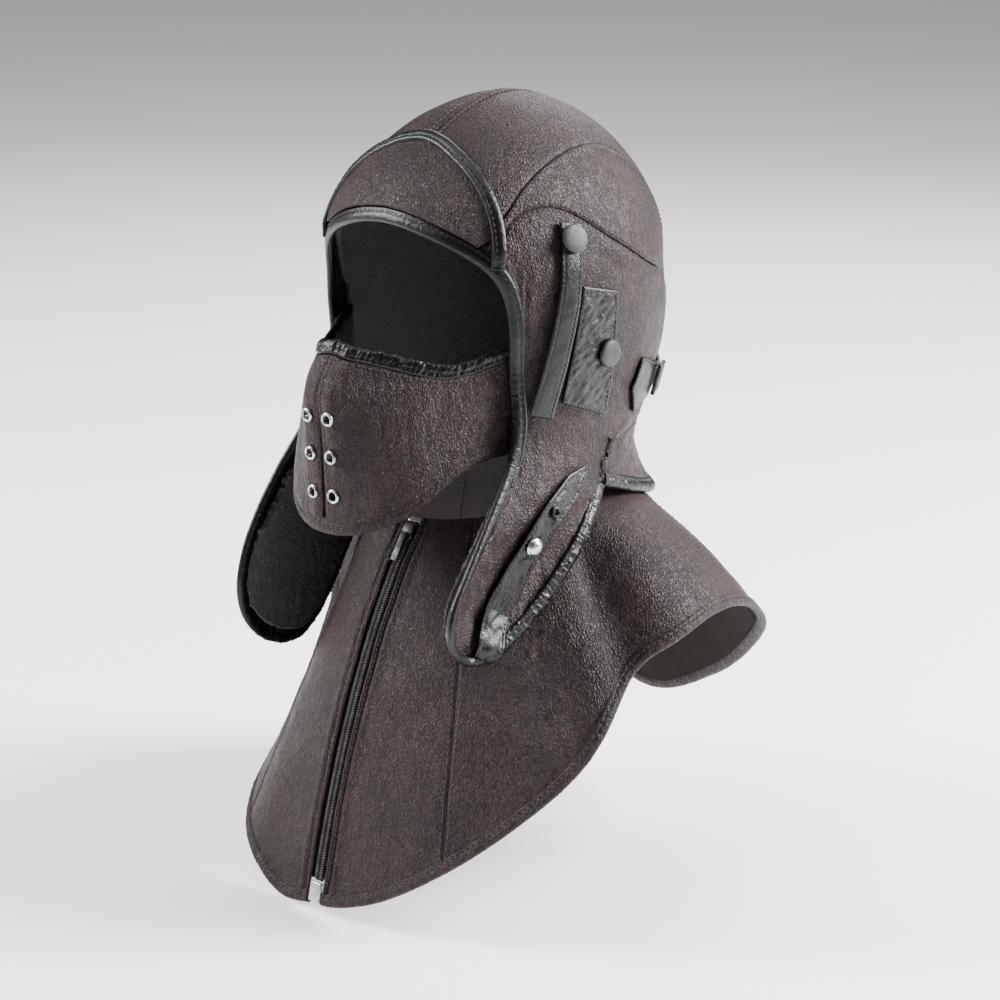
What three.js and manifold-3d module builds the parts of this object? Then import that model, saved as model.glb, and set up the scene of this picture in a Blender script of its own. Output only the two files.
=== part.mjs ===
// Sheepskin hooded helmet: panelled hood with a folded brow visor, bound ear flaps, a face mask vented by
// eyelets and a zipped shoulder cape. Millimetres, +Z up. The wearer looks along -Y, with the left ear at +X.
// The origin is the top of the head, against the inside of the crown.
import * as THREE from 'three';
import { mergeVertices } from 'three/addons/utils/BufferGeometryUtils.js';
import Module from 'manifold-3d';

const wasm = await Module();
wasm.setup();

// Driving dimensions
const GAP = 0.3;
const SEAM_HALF = 0.2;
const LEATHER = 2;
const CROWN_WALL = 7;
const HOOD = { half: 90.5, front: 99, back: 103, widest: -92, top: 0, squareness: 2.12, dome: 1.81, lean: 8 };
const EDGE = { width: 8, thick: 5 };
const VISOR = { thick: 1.8, rise: 0.5, edge: 7, edgeThick: 4.4 };
const FLEECE = { thick: 3.1, stand: 1.9, floor: -204, around: 22 };
const FLAP_FLEECE = { thick: 2.3, stand: 2.4, rows: 5 };
const ROOT = { front: -164, rear: -190, fade: 60 };
const MASK = { half: 70, hub: -50, thick: 2.2, turn: 1.66, slit: 0.012, flare: 0.6, edge: 8, edgeThick: 4.6 };
const EYELET = { outer: 4.8, barrel: 3.1, hole: 2.4, x: 8, levels: [-165, -187, -209.5], sides: 8 };
const STRAP = { thick: 2, goggle: 14, back: 14, lift: 0.8, chinLift: 1.9 };
const SNAP = { radius: 8, height: 3.2, sides: 12 };
const BUCKLE = { height: 19, length: 14, wire: 2.4, level: -163, bearing: 125 };
const CAPE = { thick: 2.2, hem: 6.5, hemThick: 4.6, rows: 8, seamFront: 33, seamBack: 128 };
const ZIP = { chain: 6.4, chainThick: 2.6, tapeOut: 14, tapeThick: 0.8, leatherFrom: 5.2, rows: 14, top: 0.02,
  sliderEnd: 0.075, boxStart: 0.955, tapeEnd: 0.95 };

// Hood sections below its widest level: level, half width, reach to the front, reach to the back
const HOOD_LOW = [
  { z: -92, half: 90.5, front: 99, back: 103 },
  { z: -125, half: 91, front: 99, back: 105 },
  { z: -155, half: 89, front: 98, back: 98 },
  { z: -185, half: 84, front: 96, back: 83 },
  { z: -203, half: 82, front: 95, back: 79 },
  { z: -222, half: 84, front: 95, back: 88 },
  { z: -245, half: 90, front: 95, back: 104 },
  { z: -275, half: 95, front: 96, back: 110 },
];

// Outline of the face opening, brow centre to the root of the left flap
const OPENING = [
  { x: 0, y: -91.5, z: -63 },
  { x: 15, y: -91, z: -64.5 },
  { x: 29.5, y: -89, z: -68 },
  { x: 43, y: -85, z: -73 },
  { x: 55, y: -79, z: -79.5 },
  { x: 62, y: -74, z: -85.5 },
  { x: 67, y: -69, z: -94 },
  { x: 70, y: -66, z: -105 },
  { x: 71.5, y: -64.5, z: -120 },
  { x: 71, y: -64, z: -146 },
];

// Outer line of each flap's binding, root front round the tip to the root rear, as seen on a left flap
const NEAR_FLAP = [
  { x: 75, y: -66, z: -171 },
  { x: 79, y: -73, z: -190 },
  { x: 84, y: -88, z: -208 },
  { x: 89, y: -104, z: -226 },
  { x: 93, y: -119, z: -243 },
  { x: 95, y: -131, z: -258 },
  { x: 95, y: -134, z: -272 },
  { x: 93, y: -128, z: -285 },
  { x: 91, y: -115, z: -295 },
  { x: 91, y: -99, z: -297 },
  { x: 93, y: -81, z: -289 },
  { x: 95, y: -60, z: -274 },
  { x: 96, y: -40, z: -257 },
  { x: 94, y: -22, z: -241 },
  { x: 88, y: -6, z: -227 },
];
const FAR_FLAP = [
  { x: 76, y: -67, z: -171 },
  { x: 82, y: -74, z: -190 },
  { x: 88, y: -89, z: -214 },
  { x: 92, y: -104, z: -239 },
  { x: 94, y: -116, z: -264 },
  { x: 94, y: -122, z: -287 },
  { x: 94, y: -119, z: -306 },
  { x: 94, y: -107, z: -322 },
  { x: 94, y: -90, z: -331 },
  { x: 94, y: -73, z: -331 },
  { x: 94, y: -57, z: -320 },
  { x: 95, y: -40, z: -299 },
  { x: 95, y: -25, z: -275 },
  { x: 92, y: -12, z: -252 },
  { x: 87, y: -2, z: -232 },
];
const NEAR = { outline: NEAR_FLAP, tipFrom: 0.43, tipTo: 0.67, hollow: 10 };
const FAR = { outline: FAR_FLAP, tipFrom: 0.42, tipTo: 0.62, hollow: 3 };

// Seams of the left half of the hood
const CENTRE_SEAM = [[0, -88, -56], [0, -50, -19], [0, 8, 0], [0, 62, -20], [0, 98, -70], [0, 104, -130], [0, 83, -184]];
const CROWN_SEAM = [[57, -74, -73], [63, -57, -55], [62, -40, -41], [60, -10, -28], [57, 24, -26], [58, 50, -42],
  [52, 82, -92], [40, 92, -140], [28, 78, -184]];
const SIDE_SEAM = [[64, -68, -80], [66, -54, -58], [74, -34, -53], [88, 3, -74], [87, 32, -90], [74, 64, -106],
  [60, 78, -140], [46, 71, -186]];
const NAPE_SEAM = [[0, 83, -184], [28, 78, -184], [46, 71, -186], [60, 57, -187], [73, 40, -189], [82, 12, -195]];
const FLAP_SEAM = [[82, 12, -195], [82, 6, -202], [82.3, -1.5, -208.5]];
const ROOT_NOTCH = [84, 3, -219];
const NAPE_EDGE = [[84, 3, -219], [83, 30, -227], [66, 66, -237], [35, 94, -243], [0, 101, -245]];

// Visor: its bound arch over the brow, centre to the left end
const VISOR_ARCH = [[0, -51, -19], [14, -53.5, -22], [27, -55, -27], [40, -56, -34.5], [52, -57.5, -45],
  [61, -59.5, -57], [66.5, -62, -69], [69, -64.5, -80]];

// Mask: reach of its centre line and fullness of its sections by level, and the levels of its two edges by turn
const MASK_PROFILE = [
  { z: -117, reach: 127, square: 1.26 },
  { z: -127, reach: 130.5, square: 1.26 },
  { z: -139, reach: 139.3, square: 1.28 },
  { z: -150, reach: 144.8, square: 1.34 },
  { z: -158, reach: 145.2, square: 1.4 },
  { z: -167, reach: 143.7, square: 1.5 },
  { z: -180, reach: 141.8, square: 1.66 },
  { z: -195, reach: 140.5, square: 1.84 },
  { z: -210, reach: 139.4, square: 2 },
  { z: -240, reach: 138.6, square: 2.05 },
];
const MASK_EDGES = [
  { turn: 0, top: -123, foot: -232.5 },
  { turn: 0.21, top: -124, foot: -231.6 },
  { turn: 0.36, top: -125.7, foot: -229 },
  { turn: 0.5, top: -128, foot: -226 },
  { turn: 0.64, top: -130.6, foot: -221.7 },
  { turn: 0.79, top: -134, foot: -215.6 },
  { turn: 0.93, top: -136, foot: -206.8 },
  { turn: 1.07, top: -134, foot: -197 },
  { turn: 1.21, top: -130, foot: -192 },
  { turn: 1.4, top: -127, foot: -190 },
  { turn: 1.66, top: -125, foot: -189 },
];

// Cape by bearing from the front, turning towards +X: hem radius and level, and where its fall bends
const CAPE_FALL = [
  { bearing: 0, hemR: 152, hemZ: -452, bendR: 120, bendZ: -307 },
  { bearing: 16, hemR: 154, hemZ: -441, bendR: 118, bendZ: -303 },
  { bearing: 32, hemR: 158, hemZ: -416, bendR: 116, bendZ: -296 },
  { bearing: 47, hemR: 160, hemZ: -386, bendR: 114, bendZ: -284 },
  { bearing: 60, hemR: 160, hemZ: -356, bendR: 113, bendZ: -270 },
  { bearing: 70, hemR: 160, hemZ: -323, bendR: 114, bendZ: -256 },
  { bearing: 80, hemR: 159, hemZ: -296, bendR: 118, bendZ: -243 },
  { bearing: 95, hemR: 158, hemZ: -281, bendR: 122, bendZ: -236 },
  { bearing: 110, hemR: 160, hemZ: -287, bendR: 124, bendZ: -242 },
  { bearing: 125, hemR: 163, hemZ: -312, bendR: 125, bendZ: -255 },
  { bearing: 137, hemR: 159, hemZ: -336, bendR: 124, bendZ: -266 },
  { bearing: 158, hemR: 154, hemZ: -374, bendR: 122, bendZ: -280 },
  { bearing: 180, hemR: 150, hemZ: -398, bendR: 120, bendZ: -288 },
  { bearing: 202, hemR: 154, hemZ: -374, bendR: 122, bendZ: -280 },
  { bearing: 223, hemR: 159, hemZ: -336, bendR: 124, bendZ: -266 },
  { bearing: 235, hemR: 163, hemZ: -312, bendR: 125, bendZ: -255 },
  { bearing: 249, hemR: 160, hemZ: -289, bendR: 122, bendZ: -243 },
  { bearing: 262, hemR: 156, hemZ: -283, bendR: 118, bendZ: -238 },
  { bearing: 274, hemR: 147, hemZ: -291, bendR: 108, bendZ: -244 },
  { bearing: 284, hemR: 133, hemZ: -304, bendR: 97, bendZ: -256 },
  { bearing: 293, hemR: 121, hemZ: -323, bendR: 88, bendZ: -270 },
  { bearing: 302, hemR: 120, hemZ: -356, bendR: 84, bendZ: -284 },
  { bearing: 310, hemR: 132, hemZ: -394, bendR: 85, bendZ: -294 },
  { bearing: 320, hemR: 148, hemZ: -421, bendR: 92, bendZ: -300 },
  { bearing: 334, hemR: 156, hemZ: -439, bendR: 106, bendZ: -303 },
  { bearing: 348, hemR: 154, hemZ: -455, bendR: 117, bendZ: -306 },
  { bearing: 360, hemR: 152, hemZ: -452, bendR: 120, bendZ: -307 },
];
const NECK = { front: 66, side: 72, back: 76, frontZ: -238, sideZ: -226, backZ: -220 };
const CREASES = [
  { bearing: 75, spread: 7, depth: 12.5, full: 0.6 },
  { bearing: 284, spread: 14, depth: 18, full: 0.35 },
];

const COLOURS = { brown: 0x4a3836, black: 0x191817, fleece: 0x121112, steel: 0xb9bcc0, gunmetal: 0x3a3a3d, matt: 0x222224 };
const FINISH = {
  brown_leather: { color: COLOURS.brown, roughness: 0.55, metalness: 0 },
  black_leather: { color: COLOURS.black, roughness: 0.42, metalness: 0 },
  black_fleece: { color: COLOURS.fleece, roughness: 0.95, metalness: 0 },
  matt_cap: { color: COLOURS.matt, roughness: 0.6, metalness: 0.2 },
  steel: { color: COLOURS.steel, roughness: 0.3, metalness: 1 },
  gunmetal: { color: COLOURS.gunmetal, roughness: 0.35, metalness: 0.9 },
  zip_black: { color: COLOURS.black, roughness: 0.7, metalness: 0 },
};

const helmet = new THREE.Group();
helmet.name = 'sheepskin_hooded_helmet';

// Small helpers
const V = (x, y, z) => new THREE.Vector3(x, y, z);
const point = (row) => (Array.isArray(row) ? V(...row) : V(row.x, row.y, row.z));
const mix = (a, b, t) => a + (b - a) * t;
const ease = (t) => {
  const c = Math.min(1, Math.max(0, t));
  return c * c * (3 - 2 * c);
};
const mirrored = (p) => V(-p.x, p.y, p.z);

// Smooth value of each column of a table at a key, with the key in the first column named
function lookUp(table, key, at) {
  const sign = Math.sign(table[table.length - 1][key] - table[0][key]);
  const x = Math.min(Math.max(at * sign, table[0][key] * sign), table[table.length - 1][key] * sign) * sign;
  let i = 0;
  while (i < table.length - 2 && x * sign > table[i + 1][key] * sign) i += 1;
  const rows = [table[Math.max(i - 1, 0)], table[i], table[i + 1], table[Math.min(i + 2, table.length - 1)]];
  const h = rows[2][key] - rows[1][key];
  const t = (x - rows[1][key]) / h;
  const value = {};
  for (const name of Object.keys(rows[1])) {
    const before = i === 0 ? 0 : (rows[2][name] - rows[0][name]) / (rows[2][key] - rows[0][key]);
    const after = rows[3] === rows[2]
      ? (rows[2][name] - rows[1][name]) / h
      : (rows[3][name] - rows[1][name]) / (rows[3][key] - rows[1][key]);
    value[name] = (2 * t ** 3 - 3 * t ** 2 + 1) * rows[1][name] + (t ** 3 - 2 * t ** 2 + t) * h * before
      + (3 * t ** 2 - 2 * t ** 3) * rows[2][name] + (t ** 3 - t ** 2) * h * after;
  }
  return value;
}

// Hood surface: a dome above its widest level, and tabled sections below
function seat(p) {
  const { half, front, back, widest, top, squareness: n, dome, lean } = HOOD;
  if (p.z > widest) {
    const rise = (p.z - widest) / (top - widest);
    const y = p.y - lean * rise ** 2;
    const flat = ((Math.abs(p.x) / half) ** n + (Math.abs(y) / (y < 0 ? front : back)) ** n) ** (1 / n);
    const scale = (flat ** dome + rise ** dome) ** (-1 / dome);
    return V(p.x * scale, y * scale + lean * (rise * scale) ** 2, widest + (p.z - widest) * scale);
  }
  const cut = lookUp(HOOD_LOW, 'z', p.z);
  const scale = ((Math.abs(p.x) / cut.half) ** n + (Math.abs(p.y) / (p.y < 0 ? cut.front : cut.back)) ** n) ** (-1 / n);
  return V(p.x * scale, p.y * scale, p.z);
}
function hoodDepth(p) {
  const s = seat(p);
  const centre = V(0, 0, Math.min(p.z, HOOD.widest));
  return p.distanceTo(centre) - s.distanceTo(centre);
}
function hoodNormal(p) {
  const d = 0.5;
  const slope = (axis) => hoodDepth(p.clone().addScaledVector(axis, d)) - hoodDepth(p.clone().addScaledVector(axis, -d));
  return V(slope(V(1, 0, 0)), slope(V(0, 1, 0)), slope(V(0, 0, 1))).normalize();
}
const onHood = (p, lift) => {
  const s = seat(p);
  return s.addScaledVector(hoodNormal(s), lift);
};

// Evenly spaced points of a smooth curve through the rows, seated on the hood
function seam(rows, steps, seated = true) {
  const curve = new THREE.CatmullRomCurve3(rows.map(point), false, 'centripetal');
  const points = curve.getSpacedPoints(steps);
  return seated ? points.map(seat) : points;
}

// Solid through closed loops of one count. The first half of a loop is its outer side.
function loft(loops, ring = false) {
  const count = loops[0].length;
  const position = loops.flat().flatMap((p) => [p.x, p.y, p.z]);
  const index = [];
  const quad = (a, b, c, d) => index.push(a, b, c, a, c, d);
  const spans = ring ? loops.length : loops.length - 1;
  for (let j = 0; j < spans; j += 1) {
    const here = j * count;
    const next = ((j + 1) % loops.length) * count;
    for (let i = 0; i < count; i += 1) {
      const k = (i + 1) % count;
      quad(here + i, here + k, next + k, next + i);
    }
  }
  if (!ring) {
    const last = (loops.length - 1) * count;
    for (let i = 0; i < count / 2 - 1; i += 1) {
      quad(i + 1, i, count - 1 - i, count - 2 - i);
      quad(last + i, last + i + 1, last + count - 2 - i, last + count - 1 - i);
    }
  }
  const geometry = new THREE.BufferGeometry();
  geometry.setAttribute('position', new THREE.Float32BufferAttribute(position, 3));
  geometry.setIndex(index);
  return outward(geometry);
}

// Turns the faces of a closed geometry outwards
function outward(geometry) {
  const p = geometry.attributes.position;
  const index = geometry.index.array;
  const corner = (k) => V().fromBufferAttribute(p, index[k]);
  let volume = 0;
  for (let k = 0; k < index.length; k += 3) volume += corner(k).dot(corner(k + 1).cross(corner(k + 2)));
  if (volume < 0) {
    for (let k = 0; k < index.length; k += 3) {
      const swap = index[k];
      index[k] = index[k + 1];
      index[k + 1] = swap;
    }
  }
  return geometry;
}

// Sheet of material from a grid of points, each with its own normal
function sheet(grid, normals, rise, fall) {
  return loft(grid.map((row, j) => {
    const outer = row.map((p, i) => p.clone().addScaledVector(normals[j][i], rise));
    const inner = row.map((p, i) => p.clone().addScaledVector(normals[j][i], -fall));
    return [...outer, ...inner.reverse()];
  }));
}

// Grid that fills four border curves, top and foot running one way, left and right from top to foot
function fill(top, foot, left, right) {
  const across = top.length - 1;
  const down = left.length - 1;
  return left.map((_, j) => top.map((__, i) => {
    const s = i / across;
    const t = j / down;
    const p = V();
    p.addScaledVector(top[i], 1 - t).addScaledVector(foot[i], t);
    p.addScaledVector(left[j], 1 - s).addScaledVector(right[j], s);
    p.addScaledVector(top[0], -(1 - s) * (1 - t)).addScaledVector(top[across], -s * (1 - t));
    p.addScaledVector(foot[0], -(1 - s) * t).addScaledVector(foot[across], -s * t);
    return p;
  }));
}

// Pulls the border of a grid inwards, to leave the seam gap
function trimmed(grid, by = SEAM_HALF) {
  const rows = grid.length - 1;
  const columns = grid[0].length - 1;
  return grid.map((row, j) => row.map((p, i) => {
    const q = p.clone();
    const pull = (other) => q.addScaledVector(V().subVectors(other, p).normalize(), by);
    if (i === 0) pull(row[1]);
    if (i === columns) pull(row[columns - 1]);
    if (j === 0) pull(grid[1][i]);
    if (j === rows) pull(grid[rows - 1][i]);
    return q;
  }));
}
const hoodNormals = (grid) => grid.map((row) => row.map(hoodNormal));

// Normals of a free grid from its neighbours, pointing to the same side as a guide
function gridNormals(grid, guide) {
  const rows = grid.length - 1;
  const columns = grid[0].length - 1;
  return grid.map((row, j) => row.map((p, i) => {
    const along = V().subVectors(grid[Math.min(j + 1, rows)][i], grid[Math.max(j - 1, 0)][i]);
    const across = V().subVectors(row[Math.min(i + 1, columns)], row[Math.max(i - 1, 0)]);
    const n = across.cross(along).normalize();
    return n.dot(guide(p)) < 0 ? n.negate() : n;
  }));
}

// Bound edge: a padded roll from the outline inwards, in sections of six corners
const ROLL_SECTION = [[0, 0.25], [0.5, 0.5], [1, 0.32], [1, -0.32], [0.5, -0.5], [0, -0.25]];
function roll(outline, frame, width, thick, lift) {
  return loft(outline.map((p, k) => ROLL_SECTION.map(([across, rise]) => p.clone()
    .addScaledVector(frame.inward[k], across * width)
    .addScaledVector(frame.normals[k], rise * thick + lift))));
}

// Merged copy of a geometry, with its doubled corners joined and its empty faces dropped
function joined(geometry) {
  const bare = geometry.clone();
  bare.deleteAttribute('normal');
  bare.deleteAttribute('uv');
  const merged = mergeVertices(bare, 1e-4);
  const kept = [];
  const index = merged.index.array;
  for (let k = 0; k < index.length; k += 3) {
    const [a, b, c] = [index[k], index[k + 1], index[k + 2]];
    if (a !== b && b !== c && a !== c) kept.push(a, b, c);
  }
  merged.setIndex(kept);
  return outward(merged);
}
function solid(geometry) {
  const vertProperties = new Float32Array(geometry.attributes.position.array);
  const triVerts = new Uint32Array(geometry.index.array);
  return new wasm.Manifold(new wasm.Mesh({ numProp: 3, vertProperties, triVerts }));
}
function fromSolid(shape) {
  const mesh = shape.getMesh();
  const geometry = new THREE.BufferGeometry();
  geometry.setAttribute('position', new THREE.Float32BufferAttribute(mesh.vertProperties, 3));
  geometry.setIndex(Array.from(mesh.triVerts));
  return geometry;
}

function addPiece(name, geometry, finish) {
  const mesh = new THREE.Mesh(geometry, new THREE.MeshStandardMaterial(FINISH[finish]));
  mesh.name = name;
  helmet.add(mesh);
  return mesh;
}
const flip = (geometry) => outward(geometry.clone().scale(-1, 1, 1));

// Left half outline: brow, front of the flap, tip and rear
const COLUMNS = 12;
const CROWN_COLUMNS = 4;
const UPPER_COLUMNS = 2;
const SEAM_STEPS = COLUMNS;
const NAPE_STEPS = 4;
const ROOT_STEPS = 2;
const REAR_STEPS = 8;
const FLAP_ROW = 7;
const EAR_ROWS = NAPE_STEPS + ROOT_STEPS + REAR_STEPS;

// Part of a curve from one share of its length to another
const stretch = (curve, from, to, steps) => Array.from({ length: steps + 1 },
  (_, k) => curve.getPointAt(mix(from, to, k / steps)));

// Stations of one half's outline, from the brow centre round the flap to its root
function halfOutline(flap) {
  const brow = OPENING.map((row) => seat(point(row)));
  const rows = [...brow, ...flap.outline.map(point), seat(point(ROOT_NOTCH))];
  const curve = new THREE.CatmullRomCurve3(rows, false, 'centripetal');
  const shareNear = (p) => {
    let best = 0;
    for (let s = 0; s <= 400; s += 1) {
      if (curve.getPointAt(s / 400).distanceTo(p) < curve.getPointAt(best / 400).distanceTo(p)) best = s;
    }
    return best / 400;
  };
  const crownEnd = shareNear(seat(point(CROWN_SEAM[0])));
  const sideStart = shareNear(seat(point(SIDE_SEAM[0])));
  const flapStart = shareNear(point(flap.outline[0]));
  const tipFrom = mix(flapStart, 1, flap.tipFrom);
  const tipTo = mix(flapStart, 1, flap.tipTo);
  const runs = [
    stretch(curve, 0, crownEnd, CROWN_COLUMNS),
    stretch(curve, crownEnd, sideStart, UPPER_COLUMNS),
    stretch(curve, sideStart, tipFrom, EAR_ROWS),
    stretch(curve, tipFrom, tipTo, COLUMNS),
    stretch(curve, tipTo, 1, REAR_STEPS),
  ];
  return runs.flatMap((run, k) => (k ? run.slice(1) : run));
}

// In-surface frame of an outline: normal from a guide, and the direction towards the inside of the piece
function frames(line, normalAt, ends) {
  const last = line.length - 1;
  const normals = [];
  const inward = [];
  line.forEach((p, k) => {
    const before = k === 0 && ends?.before ? ends.before : line[Math.max(k - 1, 0)];
    const after = k === last && ends?.after ? ends.after : line[Math.min(k + 1, last)];
    const tangent = V().subVectors(after, before).normalize();
    const n = normalAt(p, k);
    n.addScaledVector(tangent, -n.dot(tangent)).normalize();
    normals.push(n);
    inward.push(V().crossVectors(n, tangent).normalize());
  });
  return { normals, inward };
}

// Above the flap roots the hood gives the normal, and below them the flap faces outwards
const flapFacing = V(1, -0.12, 0.1).normalize();
const outlineNormal = (p) => {
  const w = ease((-165 - p.z) / 35);
  return hoodNormal(seat(p)).multiplyScalar(1 - w).addScaledVector(flapFacing, w).normalize();
};

function buildHalf(flap) {
  const line = halfOutline(flap);
  const start = seat(point([-8, -91.3, -63.3]));
  const frame = frames(line, outlineNormal, { before: start });
  const inset = (k) => line[k].clone().addScaledVector(frame.inward[k], EDGE.width + 3 * GAP);
  const counts = [CROWN_COLUMNS, UPPER_COLUMNS, EAR_ROWS, COLUMNS, REAR_STEPS];
  const cuts = counts.reduce((list, n) => [...list, list[list.length - 1] + n], [0]);
  const borders = counts.map((n, part) => Array.from({ length: n + 1 }, (_, i) => inset(cuts[part] + i)));
  return { line, frame, borders };
}

const nearHalf = buildHalf(NEAR);
const farHalf = buildHalf(FAR);

function hoodPanels(half, flap) {
  const [crownFront, upperFront, earFront, tip, rear] = half.borders;
  const onSurface = (list) => list.map(seat);
  const napeRows = seam(NAPE_SEAM, 60);
  const crownFoot = [];
  const upperFoot = [];
  const earNape = [];
  const nearest = (p) => napeRows.reduce((best, q, k) => (q.distanceTo(p) < napeRows[best].distanceTo(p) ? k : best), 0);
  const crownTurn = nearest(seat(point(CROWN_SEAM[CROWN_SEAM.length - 1])));
  const sideTurn = nearest(seat(point(SIDE_SEAM[SIDE_SEAM.length - 1])));
  const nape = new THREE.CatmullRomCurve3(napeRows, false, 'centripetal');
  const share = (k) => k / 60;
  crownFoot.push(...stretch(nape, 0, share(crownTurn), CROWN_COLUMNS));
  upperFoot.push(...stretch(nape, share(crownTurn), share(sideTurn), UPPER_COLUMNS));
  earNape.push(...stretch(nape, share(sideTurn), 1, NAPE_STEPS));
  const centre = seam([crownFront[0].toArray(), ...CENTRE_SEAM.slice(1)], SEAM_STEPS);
  const crownSeam = seam([crownFront[CROWN_COLUMNS].toArray(), ...CROWN_SEAM.slice(1, -1),
    crownFoot[CROWN_COLUMNS].toArray()], SEAM_STEPS);
  const sideSeam = seam([upperFront[UPPER_COLUMNS].toArray(), ...SIDE_SEAM.slice(1, -1),
    upperFoot[UPPER_COLUMNS].toArray()], SEAM_STEPS);
  const crown = fill(onSurface(crownFront), crownFoot, centre, crownSeam).map(onSurface);
  const upper = fill(onSurface(upperFront), upperFoot, crownSeam, sideSeam).map(onSurface);
  const root = seam(FLAP_SEAM, ROOT_STEPS);
  const rearUp = [...rear].reverse();
  rearUp[0] = root[ROOT_STEPS].clone();
  const right = [...earNape, ...root.slice(1), ...rearUp.slice(1)];
  const left = earFront.map((p) => p.clone().lerp(seat(p), 1 - ease((-158 - p.z) / 30)));
  left[0] = sideSeam[0].clone();
  const foot = [...tip];
  right[EAR_ROWS] = foot[COLUMNS].clone();
  const ear = fill(sideSeam, foot, left, right);
  const shaped = ear.map((row, j) => row.map((p, i) => {
    const rim = i === 0 || i === COLUMNS || j === 0 || j === EAR_ROWS;
    const s = i / COLUMNS;
    const settle = rim ? 0 : 1 - ease((mix(ROOT.front, ROOT.rear, s) - p.z) / ROOT.fade);
    const q = p.clone().lerp(seat(p), settle);
    const down = ease((ROOT.rear - p.z) / ROOT.fade);
    q.addScaledVector(flapFacing, -flap.hollow * down * (4 * s * (1 - s)) ** 1.3 * (1 - ((j / EAR_ROWS) ** 8) * 0.5));
    return q;
  }));
  const napeTop = [...crownFoot, ...upperFoot.slice(1), ...earNape.slice(1)].reverse();
  return { crown, upper, ear: shaped, root, napeTop };
}

function earNormals(grid) {
  const free = gridNormals(grid, () => V(1, 0, 0));
  return grid.map((row, j) => row.map((p, i) => {
    if (i === COLUMNS && j <= NAPE_STEPS + ROOT_STEPS) return hoodNormal(seat(p));
    if (i === 0 || i === COLUMNS || j === EAR_ROWS) return outlineNormal(p);
    const w = ease((ROOT.rear - p.z) / ROOT.fade);
    return hoodNormal(seat(p)).multiplyScalar(1 - w).addScaledVector(free[j][i], w).normalize();
  }));
}

const hands = [
  { side: 'left', half: nearHalf, flap: NEAR, hand: (g) => g },
  { side: 'right', half: farHalf, flap: FAR, hand: flip },
];
for (const { side, half, flap, hand } of hands) {
  half.panels = hoodPanels(half, flap);
  const crown = trimmed(half.panels.crown);
  const upper = trimmed(half.panels.upper);
  half.ear = trimmed(half.panels.ear);
  half.earNormals = earNormals(half.ear);
  addPiece(`crown_${side}`, hand(sheet(crown, hoodNormals(crown), 0, LEATHER)), 'brown_leather');
  addPiece(`upper_side_${side}`, hand(sheet(upper, hoodNormals(upper), 0, LEATHER)), 'brown_leather');
  addPiece(`ear_panel_${side}`, hand(sheet(half.ear, half.earNormals, 0, LEATHER)), 'brown_leather');
}

// Nape panel, under the seam that runs round the back from one flap root to the other
const napeLine = stretch(new THREE.CatmullRomCurve3(NAPE_EDGE.map((row) => seat(point(row))), false, 'centripetal'),
  0, 1, CROWN_COLUMNS + UPPER_COLUMNS + NAPE_STEPS);
const wholeNape = [...napeLine, ...[...napeLine].reverse().slice(1).map(mirrored)];
const rootBefore = nearHalf.line[nearHalf.line.length - 2];
const napeFrame = frames(wholeNape, hoodNormal, { before: rootBefore, after: mirrored(rootBefore) });
function napePanel() {
  const halfTop = nearHalf.panels.napeTop;
  const top = [...halfTop, ...[...halfTop].reverse().slice(1).map(mirrored)];
  const left = nearHalf.panels.root;
  const right = left.map(mirrored);
  const foot = wholeNape.map((p, k) => seat(p.clone().addScaledVector(napeFrame.inward[k], EDGE.width + GAP)));
  foot[0] = left[ROOT_STEPS].clone();
  foot[foot.length - 1] = right[ROOT_STEPS].clone();
  const grid = trimmed(fill(top, foot, left, right).map((row) => row.map(seat)));
  return sheet(grid, hoodNormals(grid), 0, LEATHER);
}
addPiece('nape_panel', napePanel(), 'brown_leather');

// Shortens a run of outline at its ends, to leave the gap to the next binding
function nibbled(line) {
  const short = line.map((p) => p.clone());
  const last = line.length - 1;
  short[0].addScaledVector(V().subVectors(line[1], line[0]).normalize(), SEAM_HALF);
  short[last].addScaledVector(V().subVectors(line[last - 1], line[last]).normalize(), SEAM_HALF);
  return short;
}
const part = (frame, from, to) => ({ normals: frame.normals.slice(from, to), inward: frame.inward.slice(from, to) });
const EDGE_LIFT = -LEATHER / 2;

// Black bindings: round the face, round each flap, and along the nape edge
function faceBinding() {
  const end = CROWN_COLUMNS + UPPER_COLUMNS + FLAP_ROW + 1;
  const halves = [nearHalf, farHalf].map(({ line, frame }) => ({ line: line.slice(0, end), ...part(frame, 0, end) }));
  const [near, far] = halves;
  const join = (key) => [...[...near[key]].reverse(), ...far[key].slice(1).map(mirrored)];
  return roll(nibbled(join('line')), { normals: join('normals'), inward: join('inward') },
    EDGE.width, EDGE.thick, EDGE_LIFT);
}
addPiece('face_binding', faceBinding(), 'black_leather');
for (const { side, half, hand } of hands) {
  const from = CROWN_COLUMNS + UPPER_COLUMNS + FLAP_ROW;
  const line = nibbled(half.line.slice(from));
  const geometry = roll(line, part(half.frame, from, half.line.length), EDGE.width, EDGE.thick, EDGE_LIFT);
  addPiece(`flap_binding_${side}`, hand(geometry), 'black_leather');
}
addPiece('nape_binding', roll(nibbled(wholeNape), napeFrame, EDGE.width, EDGE.thick, EDGE_LIFT), 'black_leather');

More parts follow.
